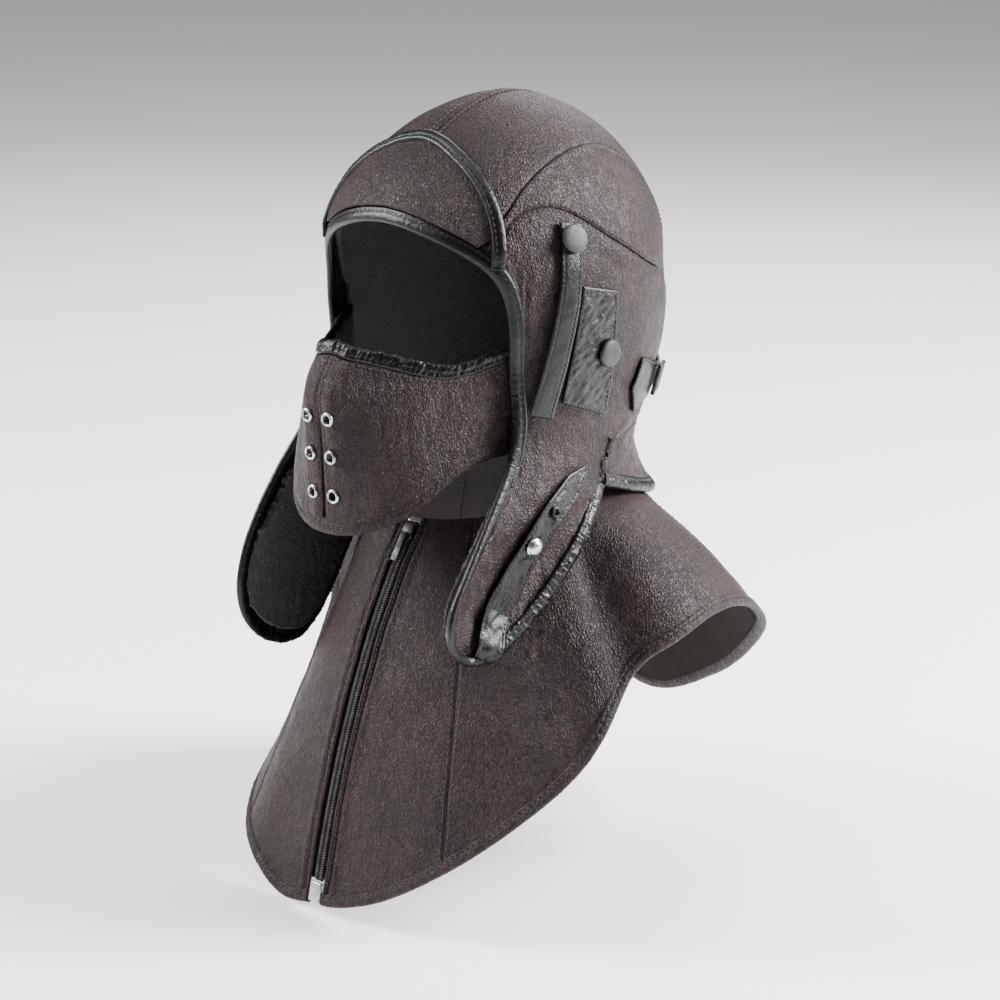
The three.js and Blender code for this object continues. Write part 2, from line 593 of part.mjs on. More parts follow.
// Fleece: a hollow cap inside the hood, and a facing on the inside of each flap
const FLEECE_LEVELS = [0, 17, 37, 60, 90];
const FLEECE_LOWER = [-120, -150, -178, FLEECE.floor];
function meridian(bearing, depth) {
  const out = V(Math.sin(bearing), -Math.cos(bearing), 0);
  const dome = FLEECE_LEVELS.map((deg) => {
    const a = THREE.MathUtils.degToRad(deg);
    const p = seat(out.clone().multiplyScalar(Math.sin(a) * 90).add(V(0, 0, HOOD.widest + Math.cos(a) * 92)));
    return deg === 0 ? V(0, HOOD.lean, HOOD.top - depth) : p.addScaledVector(hoodNormal(p), -depth);
  });
  const lower = FLEECE_LOWER.map((z) => onHood(out.clone().multiplyScalar(80).setZ(z), -depth));
  return [...dome, ...lower];
}
function fleeceLining() {
  const outerDepth = LEATHER + FLEECE.stand;
  const loops = Array.from({ length: FLEECE.around }, (_, k) => {
    const bearing = (k / FLEECE.around) * Math.PI * 2;
    return [...meridian(bearing, outerDepth), ...meridian(bearing, outerDepth + FLEECE.thick).reverse()];
  });
  const shell = solid(joined(loft(loops, true)));
  const face = new THREE.Shape();
  const outline = [[-200, -50], [-87, -50], [-80, -62], [-70, -74], [-60, -88], [-54, -102], [-45, -116],
    [-45, -160], [-37, -172], [-37, -215], [-200, -215]];
  outline.forEach(([y, z], k) => (k ? face.lineTo(y, z) : face.moveTo(y, z)));
  const reach = 240;
  const cutter = new THREE.ExtrudeGeometry(face, { depth: reach, bevelEnabled: false });
  cutter.applyMatrix4(new THREE.Matrix4().makeBasis(V(0, 1, 0), V(0, 0, 1), V(1, 0, 0)));
  cutter.translate(-reach / 2, 0, 0);
  return fromSolid(shell.subtract(solid(joined(cutter))));
}
addPiece('fleece_lining', fleeceLining(), 'black_fleece');
for (const { side, half, hand } of hands) {
  const rows = half.ear.slice(EAR_ROWS - FLAP_FLEECE.rows);
  const facings = rows.map((row) => row.map(() => flapFacing));
  const depth = LEATHER + FLAP_FLEECE.stand;
  const facing = sheet(rows, facings, -depth, depth + FLAP_FLEECE.thick);
  addPiece(`flap_fleece_${side}`, hand(facing), 'black_fleece');
}

// Brow visor: a second layer folded up over the crown, with a bound arch
const VISOR_COLUMNS = 8;
const archHalf = stretch(new THREE.CatmullRomCurve3(VISOR_ARCH.map((row) => seat(point(row))), false, 'centripetal'),
  0, 0.93, VISOR_COLUMNS);
const arch = [...[...archHalf].reverse(), ...archHalf.slice(1).map(mirrored)];
const archFrame = frames(arch, hoodNormal, {});
function visorPanel() {
  const depth = VISOR.edge + GAP;
  const last = arch.length - 2;
  const top = arch.slice(1, last + 1).map((p, k) => p.clone().addScaledVector(archFrame.inward[k + 1], depth));
  const browEnd = CROWN_COLUMNS;
  const edge = nearHalf.line.slice(0, browEnd + 1).map((p, k) => p.clone()
    .addScaledVector(nearHalf.frame.inward[k], EDGE.width + GAP));
  const browCurve = new THREE.CatmullRomCurve3([...[...edge].reverse(), ...edge.slice(1).map(mirrored)]);
  const foot = browCurve.getSpacedPoints(top.length - 1);
  const rows = 4;
  const side = (a, b) => Array.from({ length: rows + 1 }, (_, j) => a.clone().lerp(b, j / rows));
  const grid = fill(top, foot, side(top[0], foot[0]), side(top[top.length - 1], foot[foot.length - 1]));
  const seated = grid.map((row) => row.map((p) => onHood(p, VISOR.rise)));
  return sheet(seated, hoodNormals(seated), VISOR.thick, 0);
}
addPiece('brow_visor', visorPanel(), 'brown_leather');
addPiece('visor_binding', roll(arch, archFrame, VISOR.edge, VISOR.edgeThick, VISOR.rise + VISOR.edgeThick / 2),
  'black_leather');

// Mask: a bowed shell in two halves, hung inside the hood by its ends
const MASK_COLUMNS = 10;
const MASK_ROWS = 5;
function maskPoint(turn, z) {
  const level = lookUp(MASK_PROFILE, 'z', z);
  const reach = level.reach + MASK.hub;
  const power = 2 / level.square;
  const [s, c] = [Math.sin(turn), Math.cos(turn)];
  const flare = MASK.flare * ease((Math.abs(turn) - 1.15) / (MASK.turn - 1.15));
  const x = MASK.half * Math.abs(s) ** power + flare;
  return V(x * Math.sign(s), MASK.hub - reach * Math.sign(c) * Math.abs(c) ** power, z);
}
const maskTurn = (k) => (k / MASK_COLUMNS) * MASK.turn;
const maskEdge = (turn) => lookUp(MASK_EDGES, 'turn', Math.abs(turn));
function maskStation(turn, share) {
  const edges = maskEdge(turn);
  const band = MASK.edge + GAP;
  return maskPoint(turn, mix(edges.top - band, edges.foot + band, share));
}
function maskShell(sign) {
  const turns = Array.from({ length: MASK_COLUMNS + 1 }, (_, k) => maskTurn(k) + (k === 0 ? MASK.slit : 0));
  const grid = Array.from({ length: MASK_ROWS + 1 }, (_, j) => turns.map((t) => maskStation(t * sign, j / MASK_ROWS)));
  const normals = gridNormals(grid, (p) => V(p.x, p.y - MASK.hub, 0));
  normals.forEach((row) => row[0].setX(0).normalize());
  return sheet(grid, normals, 0, MASK.thick);
}
function eyeletPlace(x, z) {
  const turn = Math.asin((Math.abs(x) / MASK.half) ** (lookUp(MASK_PROFILE, 'z', z).square / 2)) * Math.sign(x);
  const p = maskPoint(turn, z);
  const d = 3;
  const down = V().subVectors(maskPoint(turn, z - d), maskPoint(turn, z + d)).normalize();
  const along = V().subVectors(maskPoint(turn + 0.03, z), maskPoint(turn - 0.03, z)).normalize();
  const normal = V().crossVectors(along, down).normalize();
  if (normal.y > 0) normal.negate();
  return { p, normal };
}
const upright = V(0, 1, 0);
function stood(geometry, p, normal) {
  return geometry.applyQuaternion(new THREE.Quaternion().setFromUnitVectors(upright, normal)).translate(p.x, p.y, p.z);
}
const lathe = (profile, sides) => joined(new THREE.LatheGeometry(profile.map(([r, h]) => new THREE.Vector2(r, h)), sides));
for (const [side, sign] of [['left', 1], ['right', -1]]) {
  const depth = 12;
  let shell = solid(maskShell(sign));
  for (const z of EYELET.levels) {
    const { p, normal } = eyeletPlace(EYELET.x * sign, z);
    const drill = joined(new THREE.CylinderGeometry(EYELET.barrel + GAP, EYELET.barrel + GAP, depth, EYELET.sides));
    shell = shell.subtract(solid(stood(drill, p, normal)));
  }
  addPiece(`mask_${side}`, fromSolid(shell), 'brown_leather');
}
const EYELET_PROFILE = [
  [EYELET.hole, -MASK.thick],
  [EYELET.barrel, -MASK.thick],
  [EYELET.barrel, 0.4],
  [EYELET.outer, 0.4],
  [EYELET.outer - 0.5, 1.3],
  [EYELET.hole, 1.3],
  [EYELET.hole, -MASK.thick],
];
EYELET.levels.forEach((z, row) => {
  for (const [column, x] of [EYELET.x, -EYELET.x].entries()) {
    const { p, normal } = eyeletPlace(x, z);
    addPiece(`eyelet_${row * 2 + column + 1}`, stood(lathe(EYELET_PROFILE, EYELET.sides), p, normal), 'steel');
  }
});
for (const [name, key, way] of [['mask_top_binding', 'top', -1], ['mask_foot_binding', 'foot', 1]]) {
  const turns = Array.from({ length: 2 * MASK_COLUMNS + 1 }, (_, k) => maskTurn(k - MASK_COLUMNS));
  const line = turns.map((t) => maskPoint(t, maskEdge(t)[key]));
  const inner = turns.map((t) => maskPoint(t, maskEdge(t)[key] + way * MASK.edge));
  const inward = line.map((p, k) => V().subVectors(inner[k], p).divideScalar(MASK.edge));
  const normals = gridNormals([line, inner], (p) => V(p.x, p.y - MASK.hub, 0))[0];
  addPiece(name, roll(line, { inward, normals }, MASK.edge, MASK.edgeThick, -MASK.thick / 2), 'black_leather');
}

// Flat leather parts on the hood: a strip follows its centre line, a patch fills four corners
function strip(stations, width, lift, thick, frameAt) {
  const last = stations.length - 1;
  const grid = [];
  const normals = [];
  stations.forEach((p, k) => {
    const tangent = V().subVectors(stations[Math.min(k + 1, last)], stations[Math.max(k - 1, 0)]).normalize();
    const n = frameAt(p, k);
    const across = V().crossVectors(n, tangent).normalize();
    const half = (Array.isArray(width) ? width[k] : width) / 2;
    const row = [-half, 0, half].map((d) => p.clone().addScaledVector(across, d));
    grid.push(row);
    normals.push(row.map(() => n.clone()));
  });
  return { grid, normals, build: () => sheet(grid, normals, lift + thick, -lift) };
}
function hoodStrip(rows, steps, width, lift, thick) {
  const line = seam(rows, steps);
  const flat = strip(line, width, lift, thick, hoodNormal);
  const grid = flat.grid.map((row) => row.map(seat));
  return sheet(grid, hoodNormals(grid), lift + thick, -lift);
}
function hoodPatch(corners, across, down, lift, thick) {
  const [a, b, c, d] = corners.map((row) => seat(point(row)));
  const run = (from, to, steps) => Array.from({ length: steps + 1 }, (_, k) => from.clone().lerp(to, k / steps));
  const grid = fill(run(a, b, across), run(d, c, across), run(a, d, down), run(b, c, down)).map((row) => row.map(seat));
  return sheet(grid, hoodNormals(grid), lift + thick, -lift);
}
const GOGGLE_LINE = [[80, -26, -63], [82, -32, -100], [80, -39, -135], [77, -47, -168]];
const EAR_PATCH = [[88, -24, -97], [91, 2, -103], [86, -2, -174], [83, -35, -162]];
const GOGGLE_SNAP = [84, -28, -71];
const PATCH_SNAP = [90, -6, -137];
const SNAP_PROFILE = [
  [0, 0],
  [SNAP.radius, 0],
  [SNAP.radius, 0.5 * SNAP.height],
  [SNAP.radius - 1.2, 0.82 * SNAP.height],
  [0, SNAP.height],
];
const snapLift = STRAP.lift + STRAP.thick + GAP + 0.1;
for (const { side, hand } of hands) {
  addPiece(`goggle_strap_${side}`, hand(hoodStrip(GOGGLE_LINE, 8, STRAP.goggle, STRAP.lift, STRAP.thick)), 'black_leather');
  addPiece(`ear_patch_${side}`, hand(hoodPatch(EAR_PATCH, 3, 5, STRAP.lift, STRAP.thick)), 'black_leather');
  for (const [name, place] of [['goggle_snap', GOGGLE_SNAP], ['patch_snap', PATCH_SNAP]]) {
    const p = seat(point(place));
    const n = hoodNormal(p);
    const cap = stood(lathe(SNAP_PROFILE, SNAP.sides), p.clone().addScaledVector(n, snapLift), n);
    addPiece(`${name}_${side}`, hand(cap), 'matt_cap');
  }
}

// Back adjuster: a pointed tab each side, a strap round the back and a buckle on the left
const around = (bearing, z) => {
  const b = THREE.MathUtils.degToRad(bearing);
  return seat(V(Math.sin(b) * 80, -Math.cos(b) * 80, z));
};
const TAB_SHAPE = [
  { bearing: 103.5, half: 1.2 },
  { bearing: 107.5, half: 15 },
  { bearing: 110, half: 17 },
  { bearing: 117, half: 12 },
  { bearing: 124, half: 9.5 },
];
function backTab() {
  const grid = TAB_SHAPE.map((row) => [1, 0, -1].map((k) => around(row.bearing, BUCKLE.level + k * row.half)));
  return sheet(grid, hoodNormals(grid), STRAP.lift + STRAP.thick, -STRAP.lift);
}
for (const { side, hand } of hands) addPiece(`back_tab_${side}`, hand(backTab()), 'black_leather');
const BACK_RANGE = { from: 124.6, to: 235.4, steps: 16 };
function backStrap() {
  const { from, to, steps } = BACK_RANGE;
  const grid = Array.from({ length: steps + 1 }, (_, k) => [1, -1].map((side) => around(mix(from, to, k / steps),
    BUCKLE.level + (side * STRAP.back) / 2)));
  return sheet(grid, hoodNormals(grid), STRAP.lift + STRAP.thick, -STRAP.lift);
}
addPiece('back_strap', backStrap(), 'black_leather');
function buckle() {
  const { height, length, wire } = BUCKLE;
  const window = (length - 3 * wire) / 2;
  const block = (long, high, thick, x) => solid(joined(new THREE.BoxGeometry(long, high, thick).translate(x, 0, 0)));
  const inner = height - 2 * wire;
  const shift = (window + wire) / 2;
  const plate = fromSolid(block(length, height, wire, 0)
    .subtract(block(window, inner, 2 * wire, shift))
    .subtract(block(window, inner, 2 * wire, -shift)));
  const p = around(BUCKLE.bearing, BUCKLE.level);
  const n = hoodNormal(p);
  const along = V().crossVectors(V(0, 0, 1), n).normalize();
  const up = V().crossVectors(n, along);
  plate.applyMatrix4(new THREE.Matrix4().makeBasis(along, up, n));
  return plate.translate(...p.addScaledVector(n, snapLift + 0.4 + wire / 2).toArray());
}
addPiece('buckle', buckle(), 'gunmetal');

// Chin strap, stowed: sewn to the tip of the near flap, run up its outer face and snapped there
const CHIN_PATH = [
  { y: -99, z: -281, width: 17 },
  { y: -91, z: -270, width: 18 },
  { y: -83.5, z: -259.5, width: 18 },
  { y: -75, z: -249, width: 17 },
  { y: -66, z: -237, width: 16 },
  { y: -50.5, z: -222, width: 15 },
  { y: -31, z: -209, width: 14 },
  { y: -19, z: -203, width: 4 },
];
function flapAt(s, t) {
  const y = Math.min(t * EAR_ROWS, EAR_ROWS - 1e-6);
  const x = Math.min(s * COLUMNS, COLUMNS - 1e-6);
  const [j, i] = [Math.floor(y), Math.floor(x)];
  const blend = (grid) => grid[j][i].clone().lerp(grid[j][i + 1], x - i)
    .lerp(grid[j + 1][i].clone().lerp(grid[j + 1][i + 1], x - i), y - j);
  return { p: blend(nearHalf.ear), n: blend(nearHalf.earNormals).normalize() };
}
function flapUnder(y, z) {
  let best = { miss: Infinity };
  for (let j = 0; j <= 90; j += 1) {
    for (let i = 0; i <= 60; i += 1) {
      const found = flapAt(i / 60, mix(0.25, 1, j / 90));
      const miss = Math.hypot(found.p.y - y, found.p.z - z);
      if (miss < best.miss) best = { ...found, miss };
    }
  }
  return best;
}
const chinRun = CHIN_PATH.map(({ y, z }) => {
  const { p, n } = flapUnder(y, z);
  return { p: p.addScaledVector(n, STRAP.chinLift + STRAP.thick / 2), n };
});
const chinWidths = CHIN_PATH.map((row) => row.width);
const chin = strip(chinRun.map((row) => row.p), chinWidths, -STRAP.thick / 2, STRAP.thick, (p, k) => chinRun[k].n.clone());
addPiece('chin_strap', chin.build(), 'black_leather');
function onChin(share, lift) {
  const k = Math.floor(share);
  const p = chinRun[k].p.clone().lerp(chinRun[k + 1].p, share - k);
  const n = chinRun[k].n.clone().lerp(chinRun[k + 1].n, share - k).normalize();
  return { p: p.addScaledVector(n, lift), n };
}
const chinTop = STRAP.thick / 2 + 3 * GAP;
const CHIN_SNAP = [[0, 0], [5.2, 0], [5.2, 0.8], [4.4, 2.2], [2.4, 3.2], [0, 3.6]];
const CHIN_EYELET = [[1.6, 0], [3.6, 0], [3.3, 0.9], [1.6, 0.9], [1.6, 0]];
for (const [name, profile, share] of [['chin_snap', CHIN_SNAP, 4], ['chin_eyelet', CHIN_EYELET, 5.05]]) {
  const { p, n } = onChin(share, chinTop);
  addPiece(name, stood(lathe(profile, SNAP.sides), p, n), 'gunmetal');
}

// Cape: each bearing falls from the neck ring through a bend to its hem
const degrees = THREE.MathUtils.degToRad;
function capePoint(bearing, v) {
  const turn = ((bearing % 360) + 360) % 360;
  const row = lookUp(CAPE_FALL, 'bearing', turn);
  const b = degrees(turn);
  const ahead = (1 + Math.cos(b)) / 2;
  const sideways = Math.sin(b) ** 2;
  const neckR = mix(mix(NECK.back, NECK.front, ahead), NECK.side, sideways);
  const neckZ = mix(mix(NECK.backZ, NECK.frontZ, ahead), NECK.sideZ, sideways);
  const w = 1 - v;
  const r = w * w * neckR + 2 * w * v * row.bendR + v * v * row.hemR;
  const z = w * w * neckZ + 2 * w * v * row.bendZ + v * v * row.hemZ;
  const fold = CREASES.reduce((sum, crease) => sum + crease.depth
    * Math.exp(-(((turn - crease.bearing) / crease.spread) ** 2)) * ease(v / crease.full), 0);
  return V(Math.sin(b) * (r - fold), -Math.cos(b) * (r - fold), z);
}
function capeNormal(bearing, v) {
  const along = V().subVectors(capePoint(bearing + 0.5, v), capePoint(bearing - 0.5, v));
  const down = V().subVectors(capePoint(bearing, Math.min(v + 0.01, 1.02)), capePoint(bearing, Math.max(v - 0.01, 0)));
  return V().crossVectors(down, along).normalize();
}
const zipBearing = (v, x) => {
  const p = capePoint(0, v);
  return THREE.MathUtils.radToDeg(Math.asin(x / Math.hypot(p.x, p.y)));
};
const range = (from, to, steps) => Array.from({ length: steps + 1 }, (_, k) => mix(from, to, k / steps));
const CAPE_PANELS = [
  { name: 'cape_front_left', from: 0, to: CAPE.seamFront, columns: 5 },
  { name: 'cape_side_left', from: CAPE.seamFront, to: CAPE.seamBack, columns: 13 },
  { name: 'cape_back', from: CAPE.seamBack, to: 360 - CAPE.seamBack, columns: 11 },
  { name: 'cape_side_right', from: 360 - CAPE.seamBack, to: 360 - CAPE.seamFront, columns: 11 },
  { name: 'cape_front_right', from: 360 - CAPE.seamFront, to: 360, columns: 5 },
];

// Step in bearing and in fall that moves a hem point inwards by a distance
function hemStep(bearing, by) {
  const p = capePoint(bearing, 1);
  const along = V().subVectors(capePoint(bearing + 1, 1), capePoint(bearing - 1, 1)).divideScalar(2);
  const down = V().subVectors(p, capePoint(bearing, 0.98)).divideScalar(0.02);
  const normal = V().crossVectors(down, along).normalize();
  const inward = V().crossVectors(along, normal).normalize();
  if (inward.dot(down) > 0) inward.negate();
  const [aa, ad, dd] = [along.dot(along), along.dot(down), down.dot(down)];
  const [ia, id] = [inward.dot(along) * by, inward.dot(down) * by];
  const det = aa * dd - ad * ad;
  return { turn: (ia * dd - id * ad) / det, fall: (id * aa - ia * ad) / det, inward, normal };
}
function capeGrid(panel, rows = CAPE.rows) {
  const atZip = (bearing) => bearing === 0 || bearing === 360;
  return Array.from({ length: rows + 1 }, (_, j) => range(panel.from, panel.to, panel.columns).map((bearing) => {
    const t = j / rows;
    const zip = atZip(bearing);
    const hem = hemStep(zip ? zipBearing(1, ZIP.leatherFrom) : bearing, CAPE.hem + 2 * GAP);
    const v = t * (1 + hem.fall);
    if (zip) return { bearing: bearing + (bearing === 0 ? 1 : -1) * zipBearing(v, ZIP.leatherFrom), v };
    return { bearing: bearing + hem.turn * t * t, v };
  }));
}
for (const panel of CAPE_PANELS) {
  const stations = capeGrid(panel);
  const grid = trimmed(stations.map((row) => row.map(({ bearing, v }) => capePoint(bearing, v))));
  const normals = stations.map((row) => row.map(({ bearing, v }) => capeNormal(bearing, v)));
  addPiece(panel.name, sheet(grid, normals, 0, CAPE.thick), 'brown_leather');
}
function capeHem() {
  const ends = zipBearing(1, ZIP.leatherFrom);
  const bearings = CAPE_PANELS.flatMap((panel, k) => range(panel.from, panel.to, panel.columns).slice(k ? 1 : 0));
  bearings[0] = ends;
  bearings[bearings.length - 1] = 360 - ends;
  const steps = bearings.map((b) => hemStep(b, CAPE.hem));
  const line = bearings.map((b) => capePoint(b, 1));
  const frame = { inward: steps.map((s) => s.inward), normals: steps.map((s) => s.normal) };
  return roll(line, frame, CAPE.hem, CAPE.hemThick, -CAPE.thick / 2);
}
addPiece('cape_hem', capeHem(), 'brown_leather');

const tapeDepth = CAPE.thick + GAP + 0.4;

// Zip down the front: tapes under the leather, the chain, its box, and the slider with its pull
const zipFrame = (v) => ({ p: capePoint(0, v), n: capeNormal(0, v).setX(0).normalize() });
function zipStrip(from, to, steps, xs, rise, fall) {
  const rows = range(from, to, steps).map(zipFrame);
  const grid = rows.map(({ p }) => xs.map((x) => p.clone().setX(x)));
  return sheet(grid, rows.map(({ n }) => xs.map(() => n.clone())), rise, fall);
}
function zipTape(sign) {
  const stations = range(ZIP.top, ZIP.tapeEnd, ZIP.rows).map((v) => [ZIP.chain / 2 + GAP, ZIP.tapeOut]
    .map((x) => ({ bearing: zipBearing(v, x * sign), v })));
  const grid = stations.map((row) => row.map(({ bearing, v }) => capePoint(bearing, v)));
  const normals = stations.map((row) => row.map(({ bearing, v }) => capeNormal(bearing, v)));
  return sheet(grid, normals, -tapeDepth, tapeDepth + ZIP.tapeThick);
}
for (const [side, sign] of [['left', 1], ['right', -1]]) {
  addPiece(`zip_tape_${side}`, zipTape(sign), 'zip_black');
}
const half = ZIP.chain / 2;
addPiece('zip_chain', zipStrip(ZIP.sliderEnd, ZIP.boxStart, ZIP.rows, [-half, half], 0.5, ZIP.chainThick - 0.5), 'zip_black');
addPiece('zip_box', zipStrip(ZIP.boxStart + 0.0012, 0.995, 2, [-4.4, 4.4], 1.1, CAPE.thick - 0.2), 'steel');
addPiece('zip_slider', zipStrip(ZIP.top, ZIP.sliderEnd - 0.0015, 2, [-4.4, 0, 4.4], 1.8, 2), 'gunmetal');
addPiece('zip_pull', zipStrip(ZIP.sliderEnd - 0.012, ZIP.sliderEnd + 0.085, 3, [-2.6, 2.6], 3.4, -2.2), 'gunmetal');

helmet.position.z = CROWN_WALL;
export default helmet;
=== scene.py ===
"""Sheepskin hooded helmet in brown leather with black bound edges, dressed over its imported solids."""

import math

import bmesh
import bpy
import numpy as np
from mathutils import Matrix, Vector, noise


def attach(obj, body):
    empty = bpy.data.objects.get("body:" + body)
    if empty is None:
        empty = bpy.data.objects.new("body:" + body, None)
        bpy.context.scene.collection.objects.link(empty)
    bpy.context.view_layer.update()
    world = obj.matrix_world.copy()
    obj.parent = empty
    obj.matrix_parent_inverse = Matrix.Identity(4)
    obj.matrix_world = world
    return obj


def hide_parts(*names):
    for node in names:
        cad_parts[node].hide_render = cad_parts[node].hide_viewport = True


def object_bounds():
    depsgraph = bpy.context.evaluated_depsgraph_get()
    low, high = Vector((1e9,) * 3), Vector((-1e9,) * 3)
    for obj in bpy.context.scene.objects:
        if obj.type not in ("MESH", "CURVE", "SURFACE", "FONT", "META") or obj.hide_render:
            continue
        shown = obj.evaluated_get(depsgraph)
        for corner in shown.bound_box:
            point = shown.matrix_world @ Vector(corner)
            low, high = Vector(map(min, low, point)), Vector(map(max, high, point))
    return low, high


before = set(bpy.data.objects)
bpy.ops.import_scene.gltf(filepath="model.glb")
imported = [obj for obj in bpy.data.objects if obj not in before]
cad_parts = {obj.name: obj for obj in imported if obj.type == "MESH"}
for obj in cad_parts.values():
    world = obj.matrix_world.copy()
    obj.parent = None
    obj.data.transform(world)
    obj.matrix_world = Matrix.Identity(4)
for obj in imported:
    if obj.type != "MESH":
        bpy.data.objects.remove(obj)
solid_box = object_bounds()

MM = 0.001
CROWN_WALL = 7.0
ACROSS = np.array([1.0, 0, 0])


# ---------------------------------------------------------------- camera, light and floor
def make_camera():
    turn, rise = math.radians(43), math.radians(16)
    back = Vector((math.sin(turn) * math.cos(rise), -math.cos(turn) * math.cos(rise), math.sin(rise)))
    lens = bpy.data.cameras.new("camera")
    lens.lens = 100.44
    lens.sensor_width = 36
    lens.clip_end = 120
    camera = bpy.data.objects.new("camera", lens)
    bpy.context.collection.objects.link(camera)
    camera.location = Vector((0.0052, -0.0007, -0.234)) + back * 1.65
    camera.rotation_euler = back.to_track_quat("Z", "Y").to_euler()
    bpy.context.scene.camera = camera


def soft_light(name, place, aim, size, watts, colour=(1, 1, 1)):
    data = bpy.data.lights.new(name, "AREA")
    data.shape = "RECTANGLE"
    data.size, data.size_y = size
    data.energy = watts
    data.color = colour
    lamp = bpy.data.objects.new(name, data)
    bpy.context.collection.objects.link(lamp)
    lamp.location = place
    lamp.rotation_euler = (Vector(place) - Vector(aim)).to_track_quat("Z", "Y").to_euler()


def make_studio():
    world = bpy.data.worlds.new("studio")
    bpy.context.scene.world = world
    world.use_nodes = True
    world.node_tree.nodes["Background"].inputs["Color"].default_value = (0.95, 0.96, 1.0, 1)
    world.node_tree.nodes["Background"].inputs["Strength"].default_value = 0.1
    centre = (0, 0, -0.22)
    soft_light("left_box", (-1.35, -1.1, 0.85), centre, (0.6, 1.1), 92, (1, 0.98, 0.96))
    soft_light("right_box", (1.2, 1.1, 0.8), centre, (0.7, 1.2), 190)
    soft_light("top_box", (-0.1, -0.2, 1.6), centre, (0.9, 0.9), 14)
    soft_light("back_box", (-0.9, 1.6, 0.9), centre, (1.0, 1.0), 24)
    bm = bmesh.new()
    bmesh.ops.create_circle(bm, cap_ends=True, segments=96, radius=60)
    bmesh.ops.translate(bm, vec=(0, 0, solid_box[0][2] - 0.0015), verts=bm.verts)
    floor = mesh_object("floor", bm)
    paint = bpy.data.materials.new("floor_paint")
    paint.use_nodes = True
    shader = paint.node_tree.nodes["Principled BSDF"]
    shader.inputs["Base Color"].default_value = (0.9, 0.9, 0.9, 1)
    shader.inputs["Roughness"].default_value = 0.8
    shader.inputs["Emission Color"].default_value = (1, 1, 1, 1)
    shader.inputs["Emission Strength"].default_value = 0.24
    floor.data.materials.append(paint)


def mesh_object(name, bm, smooth=True):
    mesh = bpy.data.meshes.new(name)
    bm.to_mesh(mesh)
    bm.free()
    for face in mesh.polygons:
        face.use_smooth = smooth
    piece = bpy.data.objects.new(name, mesh)
    bpy.context.collection.objects.link(piece)
    return piece


# ---------------------------------------------------------------- small arithmetic, in millimetres
def unit(v):
    return v / np.maximum(np.linalg.norm(v, axis=-1, keepdims=True), 1e-9)


def mix(a, b, t):
    return a + (b - a) * t


def ease(t):
    c = np.clip(t, 0, 1)
    return c * c * (3 - 2 * c)


def dot(a, b):
    return np.sum(a * b, -1, keepdims=True)


def hump(d, at, spread):
    """A smooth bump of height 1 at a distance, with its half width."""
    return np.exp(-(((d - at) / spread) ** 2))


def run_of(line):
    """Length along a line up to each of its points."""
    return np.concatenate([[0], np.cumsum(np.linalg.norm(np.diff(line, axis=0), axis=1))])


def along(run, values, at):
    """Rows of values read at lengths along a run."""
    return np.stack([np.interp(at, run, values[:, axis]) for axis in range(3)], -1)


def mirrored(p):
    return p * np.array([-1.0, 1.0, 1.0])


def handed(p, flip):
    """Points with some of them mirrored."""
    return np.where(np.asarray(flip)[..., None], mirrored(p), p)


def look_up(table, at):
    """Smooth values of a table's columns at keys of its first column."""
    rows = np.asarray(table, float)
    sign = np.sign(rows[-1, 0] - rows[0, 0])
    key = rows[:, 0] * sign
    x = np.clip(np.asarray(at, float) * sign, key[0], key[-1])
    last = len(key) - 1
    i = np.clip(np.searchsorted(key, x, side="right") - 1, 0, last - 1)
    a, b, c, d = rows[np.maximum(i - 1, 0)], rows[i], rows[i + 1], rows[np.minimum(i + 2, last)]
    h = (c[..., 0] - b[..., 0])[..., None]
    t = ((x * sign - b[..., 0])[..., None]) / h
    before = np.where((i == 0)[..., None], 0, (c - a) / (c[..., :1] - a[..., :1]))
    ahead = np.where((i >= last - 1)[..., None], (c - b) / h, (d - b) / np.where(
        d[..., :1] == b[..., :1], 1, d[..., :1] - b[..., :1]))
    value = ((2 * t**3 - 3 * t**2 + 1) * b + (t**3 - 2 * t**2 + t) * h * before
             + (3 * t**2 - 2 * t**3) * c + (t**3 - t**2) * h * ahead)
    return value[..., 1:]


class Line:
    """Smooth line through rows of points, read by its share of length."""

    def __init__(self, rows):
        p = np.asarray(rows, float)
        self.spans = len(p) - 1
        self.ends = np.vstack([2 * p[0] - p[1], p, 2 * p[-1] - p[-2]])
        self.steps = np.linspace(0, 1, 201)
        run = self._raw(self.steps)
        self.length = run_of(run)

    def _raw(self, u):
        place = np.asarray(u, float) * self.spans
        k = np.clip(place.astype(int), 0, self.spans - 1)
        w = (place - k)[..., None]
        a, b, c, d = (self.ends[k + n] for n in range(4))
        da, db, dc = (np.maximum(np.sum((q - p) ** 2, -1, keepdims=True) ** 0.25, 1e-6)
                      for p, q in ((a, b), (b, c), (c, d)))
        start = ((b - a) / da - (c - a) / (da + db) + (c - b) / db) * db
        end = ((c - b) / db - (d - b) / (db + dc) + (d - c) / dc) * db
        return b + start * w + (-3 * b + 3 * c - 2 * start - end) * w**2 + (2 * b - 2 * c + start + end) * w**3

    def at(self, share):
        s = np.clip(np.asarray(share, float), 0, 1)
        return self._raw(np.interp(s * self.length[-1], self.length, self.steps))

    def share_near(self, p, steps=400):
        s = np.arange(steps + 1) / steps
        return s[np.argmin(np.linalg.norm(self.at(s) - p, axis=1))]


# ---------------------------------------------------------------- sizes and tables, as in the solids
HALF, FRONT, BACK, WIDEST, TOP = 90.5, 99.0, 103.0, -92.0, 0.0
SQUARE, DOME, LEAN = 2.12, 1.81, 8.0
LEATHER = 2.0
EDGE_WIDTH, EDGE_THICK = 8.0, 5.0
VISOR_EDGE, VISOR_EDGE_THICK = 7.0, 4.4
SEAM_GAP = 0.3

